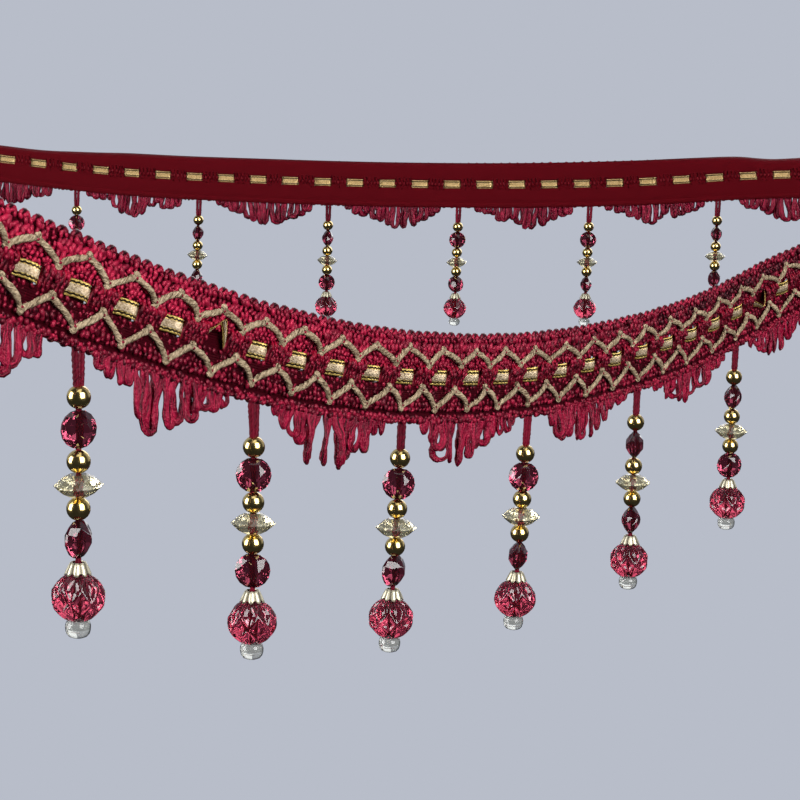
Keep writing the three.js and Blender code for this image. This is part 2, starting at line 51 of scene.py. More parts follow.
def makeCamera():
    # looks along +Y, pitched down, then rolled about its own line of sight
    data = bpy.data.cameras.new("camera")
    data.lens, data.sensor_width = eye["lens"], eye["sensor"]
    data.clip_start, data.clip_end = 0.01, 50
    camera = bpy.data.objects.new("camera", data)
    scene.collection.objects.link(camera)
    camera.rotation_mode = "QUATERNION"
    # the product of the pitch's quaternion (w1, x1, 0, 0) and the roll's (w2, 0, 0, z2)
    pitch, roll = math.radians(90 + eye["pitch"]) / 2, math.radians(eye["roll"]) / 2
    w1, x1, w2, z2 = math.cos(pitch), math.sin(pitch), math.cos(roll), math.sin(roll)
    camera.rotation_quaternion = (w1 * w2, x1 * w2, -x1 * z2, w1 * z2)
    camera.location = [value * millimetre for value in eye["place"]]
    scene.camera = camera


makeCamera()

# The hung line of the trim

trim = {
    "dropPitch": 67.9,   # one repeat: four ribbon boxes, one scallop, one bead drop
    "boxesPerDrop": 4,
    "drops": 20,
    "boxes": 83,
    "endBoxes": 3.7,     # box pitches from a cut end to the nearest drop
    "hangDrops": 3,      # drop pitches from the cut end to the point it hangs from
    "boxesBack": 0.8,    # how far the row of boxes sits towards the first end
    "topEdge": -1.0,     # places across the trim are measured down from 1 mm below its top edge
    "middle": 11.35,     # the ribbon's middle line
    "dropFrom": 23.0,    # the drops and loops are measured down from here
    "near": 490.0,       # the run in front of the camera, which gets the finest meshes
    "foldedBoxes": {6: -4.3, 24: 2.6},     # boxes with a folded ribbon: how far down its middle moves
}
boxPitch = trim["dropPitch"] / trim["boxesPerDrop"]
endLength = trim["endBoxes"] * boxPitch
stripLength = (trim["drops"] - 1) * trim["dropPitch"] + 2 * endLength
firstBox = (stripLength - (trim["boxes"] - 1) * boxPitch) / 2 - trim["boxesBack"]

# (along, heading in plan) and (along, height) of the ribbon's line
headings = [
    (0, 55), (120, 57), (250, 58), (402, 57), (470, 47), (560, 49), (650, 60),
    (740, 79), (830, 106), (920, 139), (1013, 170), (1200, 177), (stripLength, 177),
]
heights = [
    (0, 59.5), (50, 42.6), (115, 23.4), (180, 9.3), (250, 1.2), (315, -0.3), (380, 3.5),
    (450, 15), (510, 24), (600, 29.5), (710, 26), (820, 24), (900, 28), (980, 24.8),
    (1060, 17.3), (1140, 13), (1240, 11.4), (1330, 12.9), (stripLength, 19.5),
]
# the back run's upper part rolls away from its reverse face: (along, where the roll begins, down the
# trim), with the bend's radius and its whole angle
rolls = [
    (0, -2), (860, -2), (930, 4), (985, 7.6), (1006, 5.4), (1022, 4.6), (1050, 3.4), (1080, 2.8),
    (1115, 2.7), (1150, 3.3), (1190, 3.8), (1250, 4.1), (1289, 4.9), (1321, 5.5), (1338, 6.5),
    (1354, 7.6), (1370, 8.7), (1391, 8.9), (stripLength, 8.9),
]
roll = {"radius": 3.5, "most": math.radians(100)}
# The woven pattern lies unevenly. Along, then how far these are moved along: the ribbon's boxes, the
# upper cord's tips over boxes and over bars, the lower cord's tips over boxes and over bars.
slides = [
    (0, -0.2, 0, 0, 0, -0.3), (70, -0.3, 0, -0.6, 0, -0.1), (105, -0.5, 0, -0.6, -1.4, -0.7),
    (140, -0.8, -0.3, -0.2, -1.5, -0.5), (170, -0.5, 0.1, 0.2, -2.2, -1.7),
    (200, -1.4, -1.6, 0.6, -2.7, -1.4), (235, -1.3, -0.9, -0.6, -3.0, -2.1),
    (265, -1.8, -1.7, -1.0, -3.6, -1.9), (290, -1.2, 0.3, 0, -2.6, -1.1),
    (320, -0.6, 1.0, 0.9, -3.2, -1.2), (350, 0.7, 2.0, 1.2, -3.4, -0.3), (380, 1.1, 3.4, 3.0, -2.4, 0),
    (410, 0.8, 2.6, 4.0, -1.6, -0.8), (440, -0.2, 1.6, 4.4, -4.4, -1.4),
]
slides += [(at,) + 5 * (slide,) for at, slide in (
    (540, 0), (900, -5), (980, -5), (1075, -3.9), (1180, -4.4), (1287, -4.7), (1338, -6.2),
    (1391, -7.5), (stripLength, -8))]


def tableCurve(rows):
    # cubic between rows; each row's slope is the difference of its neighbours over their distance
    at, value = np.array(rows, float).T
    rise, run = (row[2:] - row[:-2] for row in (np.pad(value, 1, "edge"), np.pad(at, 1, "edge")))
    slope = rise / run

    def curve(along):
        i = np.clip(np.searchsorted(at, along) - 1, 0, len(at) - 2)
        span = at[i + 1] - at[i]
        t = (along - at[i]) / span
        bend = t * (1 - t) * span * (slope[i] * (1 - t) - slope[i + 1] * t)
        return value[i] + (value[i + 1] - value[i]) * t**2 * (3 - 2 * t) + bend

    return curve


def onTable(rows, at):
    # straight lines between a table's rows
    return np.interp(at, *np.transpose(rows))


headingAt, heightAt, rollFrom = tableCurve(headings), tableCurve(heights), tableCurve(rolls)
ribbonSlide, *tipSlides = (tableCurve(np.array(slides)[:, [0, column]]) for column in range(1, 6))
evenBoxes = firstBox + boxPitch * np.arange(trim["boxes"])
boxes = evenBoxes + ribbonSlide(evenBoxes)


def fromBox(along):
    # the nearest box, and how far along from its middle
    box = np.searchsorted((boxes[1:] + boxes[:-1]) / 2, along)
    return box, along - boxes[box]


def stacked(*parts):
    # numbers of unlike shapes as the last axis of one array
    return np.stack(np.broadcast_arrays(*parts), -1)


def unit(vectors):
    return vectors / np.linalg.norm(vectors, axis=-1, keepdims=True)


def turned(x, y, angle):
    return x * np.cos(angle) - y * np.sin(angle), x * np.sin(angle) + y * np.cos(angle)


def unevenness(seed, *shape):
    # numbers from -1 to 1, the same on every run
    return np.random.default_rng(seed).uniform(-1, 1, shape)


def axesAt(along):
    # forward along the trim, down across it, and out of its face, each a unit vector
    turn = np.radians(headingAt(along))
    rise = heightAt(along + 0.5) - heightAt(along - 0.5)
    run, x, y = np.sqrt(1 - rise**2), np.cos(turn), np.sin(turn)
    return stacked(run * x, run * y, rise), stacked(rise * x, rise * y, -run), stacked(y, -x, 0)


planSteps = math.ceil(stripLength)
stepForward = axesAt(np.minimum(np.arange(planSteps) + 0.5, stripLength - 0.5))[0][:, :2]
planLine = np.pad(np.cumsum(stepForward, axis=0), ((1, 0), (0, 0)))


def rolled(along, down, out):
    # above the line where the roll begins the trim runs round an arc, then on straight:
    # down = start - radius sin - straight cos + out sin, out = radius (1 - cos) + straight sin + out cos
    past = np.maximum(rollFrom(along) - down, 0)
    angle = np.minimum(past / roll["radius"], roll["most"])
    straight = past - angle * roll["radius"]
    sine, cosine = np.sin(angle), np.cos(angle)
    down = down + past - roll["radius"] * sine - straight * cosine + out * sine
    return down, roll["radius"] * (1 - cosine) + straight * sine + out * cosine


def rawPlace(along, down, out):
    # the line's point, moved down across the trim from the ribbon's middle and out of its face
    along, down, out = np.broadcast_arrays(*(np.asarray(x, float) for x in (along, down, out)))
    down, out = rolled(along, down, out)
    i = np.clip(np.floor(along).astype(int), 0, planSteps - 1)
    t = (along - i)[..., None]
    flat = planLine[i] * (1 - t) + planLine[i + 1] * t
    point = np.concatenate([flat, heightAt(along)[..., None]], -1)
    _, downAxis, outAxis = axesAt(along)
    return point + (down - trim["middle"])[..., None] * downAxis + out[..., None] * outAxis


hangPoint = rawPlace(trim["hangDrops"] * trim["dropPitch"], trim["topEdge"], 0)


def place(along, down, out):
    return rawPlace(along, down, out) - hangPoint


def hang(points):
    # (along, down, out) on the flat trim to its place on the hung one
    return place(*points.T)


def hangYarn(points):
    # as hang, but below the lower edge yarn falls halfway between square to the trim and plumb
    along, down, out = points.T
    edge = trim["dropFrom"]
    fall = unit(axesAt(along)[1] + np.array([0, 0, -1.0]))
    return place(along, np.minimum(down, edge), out) + np.maximum(down - edge, 0)[:, None] * fall


# Mesh making


class Shape:
    # points, faces and point attributes of one or more closed bodies, in millimetres
    def __init__(self, points, faces, **attributes):
        self.points, self.faces, self.attributes = points.reshape(-1, 3), faces, attributes

    def hung(self, by=hang, flip=True):
        faces = [block[:, ::-1] for block in self.faces] if flip else self.faces
        return Shape(by(self.points), faces, **self.attributes)


def joined(shapes):
    start, faces = 0, []
    for shape in shapes:
        faces += [block + start for block in shape.faces]
        start += len(shape.points)
    names = shapes[0].attributes
    merged = {name: np.concatenate([s.attributes[name] for s in shapes]) for name in names}
    return Shape(np.concatenate([s.points for s in shapes]), faces, **merged)


def addPiece(name, shape, material, replaces=(), smooth=True):
    mesh = bpy.data.meshes.new(name)
    mesh.vertices.add(len(shape.points))
    mesh.vertices.foreach_set("co", (shape.points * millimetre).astype(np.float32).ravel())
    corners = np.concatenate([block.ravel() for block in shape.faces])
    sizes = np.concatenate([np.full(len(block), block.shape[1]) for block in shape.faces])
    mesh.loops.add(len(corners))
    mesh.loops.foreach_set("vertex_index", corners.astype(np.int32))
    mesh.polygons.add(len(sizes))
    mesh.polygons.foreach_set("loop_start", (np.cumsum(sizes) - sizes).astype(np.int32))
    mesh.polygons.foreach_set("use_smooth", np.full(len(sizes), smooth))
    for key, values in shape.attributes.items():
        kind, field = ("FLOAT", "value") if values.ndim == 1 else ("FLOAT_VECTOR", "vector")
        attribute = mesh.attributes.new(key, kind, "POINT")
        attribute.data.foreach_set(field, values.astype(np.float32).ravel())
    mesh.update(calc_edges=True)
    mesh.validate()
    mesh.materials.append(material)
    piece = bpy.data.objects.new(name, mesh)
    scene.collection.objects.link(piece)
    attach(piece, "root")
    if replaces:
        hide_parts(*replaces)
    return piece


def wrapFaces(rings, around, closed=False):
    # quads between rings of points, and where closed from the last ring to the first
    i, j = np.meshgrid(np.arange(rings if closed else rings - 1), np.arange(around), indexing="ij")
    k, n = (j + 1) % around, (i + 1) % rings
    return stacked(i * around + j, i * around + k, n * around + k, n * around + j).reshape(-1, 4)


def endFans(rings, around):
    # triangles from the first and the last ring to the two points that follow all rings
    j, last = np.arange(around), (rings - 1) * around
    k = (j + 1) % around
    return np.concatenate([stacked(k, j, last + around), stacked(last + j, last + k, last + around + 1)])


def tubes(paths, wide, thick, sides, roll=0.0, twist=0.0, ridge=0.0, cap=0.2, reference=(0, 0, 1), seed=1):
    # many yarns at once. paths is (yarns, steps, 3). Round each step runs an ellipse, wide by thick, in
    # the plane square to the path: side is reference x tangent, turned about the path by roll. Every
    # other point stands in by ridge, and these ridges turn by twist for each millimetre of the path.
    # Each end closes in a point that stands cap beyond it.
    count, steps = paths.shape[:2]
    tangent = unit(np.gradient(paths, axis=1))
    side = unit(np.cross(reference, tangent))
    normal = np.cross(tangent, side)
    gone = np.linalg.norm(np.diff(paths, axis=1), axis=-1)
    length = np.pad(np.cumsum(gone, axis=1), ((0, 0), (1, 0)))[..., None]
    wide, thick, roll = (np.broadcast_to(x, (count, steps))[..., None] for x in (wide, thick, roll))
    angle = 2 * np.pi * np.arange(sides) / sides
    spun = angle + twist * length
    size = 1 - ridge * (np.arange(sides) % 2)
    x, y = turned(wide * size * np.cos(spun), thick * size * np.sin(spun), roll)
    rings = paths[:, :, None] + x[..., None] * side[:, :, None] + y[..., None] * normal[:, :, None]
    tips = np.stack([paths[:, 0] - cap * tangent[:, 0], paths[:, -1] + cap * tangent[:, -1]], 1)
    points = np.concatenate([rings.reshape(count, -1, 3), tips], 1)

    # the straightened yarn: where a point is in its section, and how far along
    level = length + 40 * unevenness(seed, count, 1, 1)
    straight = stacked(wide * np.cos(angle), thick * np.sin(angle), level).reshape(count, -1, 3)
    fibre = np.concatenate([straight, stacked(0, 0, level[:, [0, -1], 0])], 1).reshape(-1, 3)
    tones = np.repeat(0.5 + 0.5 * unevenness(seed + 1, count), points.shape[1])
    starts = (np.arange(count) * points.shape[1])[:, None, None]
    quads, fans = wrapFaces(steps, sides) + starts, endFans(steps, sides) + starts
    return Shape(points, [quads.reshape(-1, 4), fans.reshape(-1, 3)], fibre=fibre, tone=tones)


def throughPoints(points, steps):
    # a smooth line (Catmull-Rom) through control points (yarns, points, 3), cut into equal steps
    first, last = 2 * points[:, :1] - points[:, 1:2], 2 * points[:, -1:] - points[:, -2:-1]
    points = np.concatenate([first, points, last], 1)
    at = np.linspace(0, points.shape[1] - 3, steps)
    i = np.minimum(at.astype(int), points.shape[1] - 4)
    t = (at - i)[:, None]
    a, b, c, d = (points[:, i + k] for k in range(4))
    return 0.5 * (2 * b + (c - a) * t + (2 * a - 5 * b + 4 * c - d) * t**2 + (3 * b - a - 3 * c + d) * t**3)


# Materials


def socketColour(hexCode):
    # a screen colour such as "7d1530" as the linear values that a shader takes
    parts = [int(hexCode[i:i + 2], 16) / 255 for i in (0, 2, 4)]
    return tuple(x / 12.92 if x <= 0.04045 else ((x + 0.055) / 1.055)**2.4 for x in parts) + (1.0,)


def feed(socket, value):
    # links an output as value; a hex code becomes its colour
    if isinstance(value, bpy.types.NodeSocket):
        socket.id_data.links.new(value, socket)
    else:
        socket.default_value = socketColour(value) if isinstance(value, str) else value


def addNode(tree, kind, **values):
    # values are the node's own settings, or its inputs where the name is one of their names
    node = tree.nodes.new("ShaderNode" + kind)
    for name, value in values.items():
        if name in node.inputs:
            feed(node.inputs[name], value)
        else:
            setattr(node, name, value)
    return node


def feedInOrder(node, values):
    for socket, value in zip(node.inputs, values):
        feed(socket, value)
    return node.outputs[0]


def calc(tree, kind, *values):
    return feedInOrder(addNode(tree, "Math", operation=kind), values)


def ramp(tree, value, *limits, smooth=False):
    # from the first two limits to the next two, or to 0 and 1
    kind = "SMOOTHSTEP" if smooth else "LINEAR"
    return feedInOrder(addNode(tree, "MapRange", interpolation_type=kind), (value, *limits))


def noise(tree, where, scale, detail, roughness=0.5):
    node = addNode(tree, "TexNoise", Vector=where, Scale=scale, Detail=detail, Roughness=roughness)
    return node.outputs["Fac"]


def attribute(tree, name, output="Vector"):
    return addNode(tree, "Attribute", attribute_name=name).outputs[output]


def axesOf(tree, vector):
    return addNode(tree, "SeparateXYZ", Vector=vector).outputs


def mixColours(tree, factor, dark, light):
    mix = addNode(tree, "Mix", data_type="RGBA")
    for number, value in ((0, factor), (6, dark), (7, light)):
        feed(mix.inputs[number], value)
    return mix.outputs[2]


def newMaterial(name):
    material = bpy.data.materials.new(name)
    material.use_nodes = True
    return material, material.node_tree


shaderInputs = {"roughness": "Roughness", "gloss": "Specular IOR Level", "glint": "Specular Tint",
                "metal": "Metallic", "ior": "IOR", "clear": "Transmission Weight"}


def dress(material, look, colour, height=None, relief=0.0, depth=0.0):
    # the shader's colour, what look says of its finish, and relief from a height
    shader = material.node_tree.nodes["Principled BSDF"]
    feed(shader.inputs["Base Color"], colour)
    for name, socket in shaderInputs.items():
        if name in look:
            feed(shader.inputs[socket], look[name])
    if height:
        bump = addNode(material.node_tree, "Bump", Height=height, Strength=relief, Distance=depth)
        feed(shader.inputs["Normal"], bump.outputs["Normal"])
    return material


def makeFibreGroup():
    # fine filaments that run along a yarn, and the softer lumps of its spinning
    group = bpy.data.node_groups.new("yarnFilaments", "ShaderNodeTree")
    for name, way in (("Fineness", "INPUT"), ("Filaments", "OUTPUT"), ("Lumps", "OUTPUT")):
        group.interface.new_socket(name, in_out=way, socket_type="NodeSocketFloat")
    given, result = (group.nodes.new("NodeGroup" + way) for way in ("Input", "Output"))
    fibre = attribute(group, "fibre")
    drawn = addNode(group, "Mapping", Vector=fibre, Scale=(1, 1, 0.09)).outputs[0]
    feed(result.inputs["Filaments"], noise(group, drawn, given.outputs["Fineness"], 3.0, 0.6))
    feed(result.inputs["Lumps"], noise(group, fibre, 1.1, 4.0, 0.6))
    return group


fibreGroup = makeFibreGroup()


def makeYarn(name, look):
    # colour runs from shade to light by filament, lump and each yarn's own tone, with painted shade where
    # sunk is given
    material, tree = newMaterial(name)
    fibres = addNode(tree, "Group", node_tree=fibreGroup, Fineness=look["fineness"]).outputs
    parts = [ramp(tree, part, 0.38, 0.62) for part in fibres] + [attribute(tree, "tone", "Fac")]
    weighed = [calc(tree, "MULTIPLY", part, share) for part, share in zip(parts, look["shares"])]
    factor = calc(tree, "ADD", calc(tree, "ADD", weighed[0], weighed[1]), weighed[2])
    # painted shade: darker on the side of the yarn's section towards the cloth, or at its edges where
    # bothFaces is set
    if "sunk" in look:
        high = axesOf(tree, attribute(tree, "fibre"))["Y"]
        if "bothFaces" in look:
            high = calc(tree, "ABSOLUTE", high)
        factor = calc(tree, "MULTIPLY", factor, ramp(tree, high, *look["sunk"], smooth=True))
    height = calc(tree, "MULTIPLY_ADD", fibres["Lumps"], 1.5, fibres["Filaments"])
    colour = mixColours(tree, factor, look["shade"], look["light"])
    return dress(material, look, colour, height, look["relief"], look["depth"])


# shares: how much filaments, lumps and each yarn's own tone count in its colour
# sunk: painted shade, the heights in a yarn's section over which its colour rises out of the shade colour,
# measured from its middle towards both faces where bothFaces is set
plainYarn = {"glint": "ff98a4", "fineness": 5, "relief": 0.5, "depth": 0.00022, "metal": 0.1}
yarnLooks = {
    "braidYarn": {"shade": "1e0208", "light": "a81a3c", "roughness": 0.33, "gloss": 0.6,
                  "shares": (0.4, 0.1, 0.55), "sunk": (-0.4, 0.35)},
    "barYarn": {"shade": "1e0006", "light": "9c0c2c", "roughness": 0.34, "gloss": 0.4,
                "shares": (0.25, 0.2, 0.7), "sunk": (-0.6, 0.1)},
    "backYarn": {"shade": "4a040c", "light": "7c0e1c", "fineness": 4, "relief": 0.3, "roughness": 0.5,
                 "gloss": 0.3, "metal": 0.0, "shares": (0.5, 0.2, 0.3)},
    "loopYarn": {"shade": "120004", "light": "a4143a", "glint": "ffb4c0", "fineness": 1.9, "relief": 1.0,
                 "depth": 0.0005, "roughness": 0.27, "gloss": 0.6, "metal": 0.15,
                 "shares": (0.85, 0.15, 0.2), "sunk": (-0.3, 0.35), "bothFaces": True},
    "dropThread": {"shade": "22020a", "light": "7c0e28", "glint": "ffa0b0", "roughness": 0.45,
                   "gloss": 0.3, "shares": (0.5, 0.1, 0.4)},
    "gimpCord": {"shade": "3c240a", "light": "c8b292", "glint": "fff0dc", "fineness": 2.4, "relief": 1.0,
                 "depth": 0.0006, "roughness": 0.5, "gloss": 0.4, "metal": 0.0, "shares": (0.5, 0.6, 0.0)},
}
yarn = {name: makeYarn(name, {**plainYarn, **look}) for name, look in yarnLooks.items()}

# front: near black, painted shade in the gaps between the stitches; reverse: the back face's dark red
braidLook = {"front": ("1e0006", "5a0518"), "reverse": ("54060e", "78101e"), "glint": "ff6a7a",
             "roughness": 0.6, "gloss": 0.25}


def makeBraidCloth():
    # ribs square to the trim and the rows of stitches that hold them; the front face is near black, painted
    # shade in the gaps between the stitches
    material, tree = newMaterial("braidCloth")
    cloth = attribute(tree, "cloth")
    drawn = addNode(tree, "Mapping", Vector=cloth, Scale=(1, 0.25, 1)).outputs[0]
    ribs = addNode(tree, "TexWave", Vector=drawn, Scale=0.95, Distortion=1.2, Detail=1.5)
    rows = addNode(tree, "TexWave", Vector=cloth, Scale=0.55, Distortion=0.8, Detail=1.0,
                   bands_direction="Y")
    factor = calc(tree, "MULTIPLY", ribs.outputs["Fac"], noise(tree, cloth, 2.2, 3.0))
    faces = [mixColours(tree, factor, *braidLook[face]) for face in ("reverse", "front")]
    height = calc(tree, "MULTIPLY_ADD", rows.outputs["Fac"], 0.6, ribs.outputs["Fac"])
    colour = mixColours(tree, attribute(tree, "side", "Fac"), *faces)
    return dress(material, braidLook, colour, height, 0.8, 0.0004)


# reverse: the ribbon's back face, painted lighter than its front as painted light
ribbonLook = {"cream": ("987e5a", "d2bea0"), "gold": ("a07820", "f0d47c"), "reverse": ("a47c3c", "e6c890"),
              "seam": "1e1204", "seams": 1.32, "seamHalfWide": 0.2, "seamSway": 0.1,
              "edgeFrom": (0.85, 1.05), "metal": 0.7}


def makeRibbonFoil():
    # cream weave between golden edges, with a dark wavy seam in each: a seam is where the distance
    # across the ribbon is within seamHalfWide of the seam's place, which sways by a sine wave along it
    material, tree = newMaterial("goldRibbon")
    cloth = attribute(tree, "cloth")
    axes = axesOf(tree, cloth)
    across = calc(tree, "ABSOLUTE", axes["Y"])
    sway = calc(tree, "SINE", calc(tree, "MULTIPLY", axes["X"], 4.3))
    seamAt = calc(tree, "MULTIPLY_ADD", sway, ribbonLook["seamSway"], ribbonLook["seams"])
    away = calc(tree, "ABSOLUTE", calc(tree, "SUBTRACT", across, seamAt))
    half = ribbonLook["seamHalfWide"]
    seam = ramp(tree, away, half * 1.3, half * 0.7, smooth=True)
    weave = addNode(tree, "TexWave", Vector=cloth, Scale=1.1, Distortion=2.5, Detail=2.0)
    spots = noise(tree, cloth, 2.6, 4.0)
    tone = ramp(tree, spots, 0.3, 0.62)
    cream, gold, reverse = (
        mixColours(tree, tone, *ribbonLook[part]) for part in ("cream", "gold", "reverse"))
    front = mixColours(tree, ramp(tree, across, *ribbonLook["edgeFrom"]), cream, gold)
    # the back face takes the lighter reverse colours, painted light
    foil = mixColours(tree, calc(tree, "LESS_THAN", axes["Z"], 0.0), front, reverse)
    height = calc(tree, "ADD", weave.outputs["Fac"], spots)
    height = calc(tree, "SUBTRACT", height, calc(tree, "MULTIPLY", seam, 2.5))
    look = {**ribbonLook, "roughness": calc(tree, "MULTIPLY_ADD", spots, 0.25, 0.22)}
    return dress(material, look, mixColours(tree, seam, foil, ribbonLook["seam"]), height, 0.7, 0.0002)


def makeGlass(name, look):
    # clear acrylic, coloured through its depth, with faint flow marks in its surface, and painted shade
    # where the surface turns from sight: a darker rim colour
    material, tree = newMaterial(name)
    flow = noise(tree, addNode(tree, "TexCoord").outputs["Object"], look["flowScale"], 2.0)
    facing = addNode(tree, "LayerWeight", Blend=0.5).outputs["Facing"]
    # painted shade at the rim, where the surface turns from sight
    rim = ramp(tree, facing, *look["rimFrom"], smooth=True)
    colour = mixColours(tree, rim, mixColours(tree, flow, look["deep"], look["thin"]), look["rim"])
    return dress(material, look, colour, flow, look["uneven"], 0.0002)


plainGlass = {"gloss": 0.6, "roughness": 0.03, "uneven": 0.12}
glassLooks = {
    "wineAcrylic": {"deep": "5c182c", "thin": "9c4456", "rim": "24060e", "rimFrom": (0.45, 1.0),
                    "ior": 1.5, "clear": 0.95, "flowScale": 260},
    "carvedWine": {"deep": "98223e", "thin": "c8566a", "rim": "340814", "rimFrom": (0.5, 1.0),
                   "roughness": 0.04, "ior": 1.48, "clear": 0.96, "flowScale": 220},
    "clearAcrylic": {"deep": "ecdca0", "thin": "fffbe0", "rim": "7a6630", "rimFrom": (0.5, 0.95),
                     "roughness": 0.0, "ior": 1.62, "clear": 0.95, "flowScale": 500, "uneven": 0.6},
    "clearEnd": {"deep": "b8bab4", "thin": "e2e4e0", "rim": "2c2a24", "rimFrom": (0.3, 0.85),
                 "ior": 1.45, "clear": 0.78, "flowScale": 240},
}
glass = {name: makeGlass(name, {**plainGlass, **look}) for name, look in glassLooks.items()}


def makePlating(name, look):
    # plated metal with faint uneven polish, and darker in its hollows where hollows is given
    material, tree = newMaterial(name)
    polish = noise(tree, addNode(tree, "TexCoord").outputs["Object"], look["scale"], 3.0)
    colour = mixColours(tree, polish, look["dull"], look["bright"])
    if "hollows" in look:
        colour = mixColours(tree, attribute(tree, "hollow", "Fac"), colour, look["hollows"])
    rough = calc(tree, "MULTIPLY_ADD", polish, look["unevenGloss"], look["roughness"])
    return dress(material, {**look, "roughness": rough}, colour)


platingLooks = {
    "goldPlate": {"dull": "c4a45c", "bright": "ecd692", "metal": 1.0, "roughness": 0.13,
                  "unevenGloss": 0.1, "scale": 900},
    "capMetal": {"dull": "b0a88c", "bright": "e0dac2", "hollows": "4a4030", "metal": 0.7,
                 "roughness": 0.32, "unevenGloss": 0.2, "scale": 700},
}
plating = {name: makePlating(name, look) for name, look in platingLooks.items()}
braidCloth, ribbonFoil = makeBraidCloth(), makeRibbonFoil()
print("materials made")

# Braid: the cloth itself, with slits that the ribbon passes through

braid = {
    "halfThick": 0.75,
    "slot": (9.05, 13.65),          # the slot's top and bottom, and the ribbon's in it
    "ribbon": (9.35, 13.35),
    "barFront": 0.85,     # the bars between boxes lie before the ribbon, and behind it at a box
    "barBack": 0.45,
    "boxHalf": 4.15,      # half the length of ribbon that a box shows
    "slit": 0.16,
    "groove": (20.75, 0.5, 0.5),    # middle, half width and depth of the groove over the heading
    "rows": [0.4, 1.6, 3.0, 4.4, 5.8, 7.2, 8.3, 9.05, 9.35, 11.35, 13.35, 13.75, 14.5, 15.5, 16.8,
             18.4, 20.0, 20.5, 21.0, 21.5, 23.3],
    "columns": [-7.0, -5.6, -4.7, -4.31, -3.99, -2.2, -0.7, 1.05, 1.4, 2.7, 3.99, 4.31, 4.7, 5.6, 7.0,
                8.2],
    # see-through slots beside and below each box: from and to along, from and to down
    "gaps": [(4.31, 4.7, 13.75, 14.5), (1.05, 1.4, 15.5, 16.8)],
}


def shell(front, back, keep, **attributes):
    # two grids of points, one for each face, closed round every edge and every hole of keep
    rows, columns = front.shape[:2]
    count = rows * columns
    index = np.arange(count).reshape(rows, columns)
    a, b, c, d = index[:-1, :-1], index[:-1, 1:], index[1:, 1:], index[1:, :-1]
    blocks = [stacked(a, b, c, d)[keep], stacked(d, c, b, a)[keep] + count]
    padded = np.pad(keep, 1)
    for start, end, beyond in ((b, a, padded[:-2, 1:-1]), (c, b, padded[1:-1, 2:]),
                               (d, c, padded[2:, 1:-1]), (a, d, padded[1:-1, :-2])):
        bare = keep & ~beyond
        blocks.append(stacked(start, end, end + count, start + count)[bare])
    used, renumbered = np.unique(np.concatenate(blocks), return_inverse=True)
    points = np.concatenate([front.reshape(-1, 3), back.reshape(-1, 3)])[used]
    both = {name: np.concatenate([v.reshape(count, -1)] * 2)[used] for name, v in attributes.items()}
    return Shape(points, [renumbered.reshape(-1, 4)], side=(used < count).astype(float), **both)


def makeBraid():
    # both faces lie at half the cloth's thickness, less in the groove. In the slot the cloth is a
    # bar: before the ribbon between boxes, behind it at a box.
    inner = (boxes[:, None] + np.array(braid["columns"])).ravel()
    ends = np.linspace(0, inner[0] - 1.2, 4), np.linspace(inner[-1] + 1.2, stripLength, 3)
    a, v = np.meshgrid(np.concatenate([ends[0], inner, ends[1]]), braid["rows"])
    middle, halfWide, depth = braid["groove"]
    groove = depth * np.exp(-((v - middle) / halfWide)**4)
    front, back = braid["halfThick"] - groove, -braid["halfThick"] + 0.5 * groove
    atBox = np.abs(fromBox(a)[1]) < braid["boxHalf"]
    inSlot = (v > braid["slot"][0] + 0.01) & (v < braid["slot"][1] - 0.01)
    front = np.where(inSlot, np.where(atBox, -braid["barBack"], braid["barFront"]), front)
    back = np.where(inSlot, np.where(atBox, -braid["barFront"], braid["barBack"]), back)

    # the grid's open cells: slits at both ends of a box, and the small gaps of the front run
    middle = (a[:-1, 1:] + a[:-1, :-1]) / 2
    box, away = fromBox(middle)
    low, high = v[:-1, :-1] + 0.01, v[1:, 1:] - 0.01
    top, bottom = braid["ribbon"]
    openCells = (low >= top) & (high <= bottom) & ~np.isin(box, list(trim["foldedBoxes"]))
    openCells &= np.abs(np.abs(away) - braid["boxHalf"]) < braid["slit"]
    for left, right, top, bottom in braid["gaps"]:
        gap = (away > left) & (away < right) & (low >= top) & (high <= bottom)
        openCells |= gap & (middle < trim["near"])
    openCells &= (middle > boxes[0] - boxPitch / 2) & (middle < boxes[-1] + boxPitch / 2)
    shape = shell(stacked(a, v, front), stacked(a, v, back), ~openCells, cloth=stacked(a, v, 0))
    return addPiece("braid_cloth", shape.hung(flip=False), braidCloth, ["braid"])


braidPiece = makeBraid()
print("braid cloth made")

# Stitches: rows of small raised stitches over the face

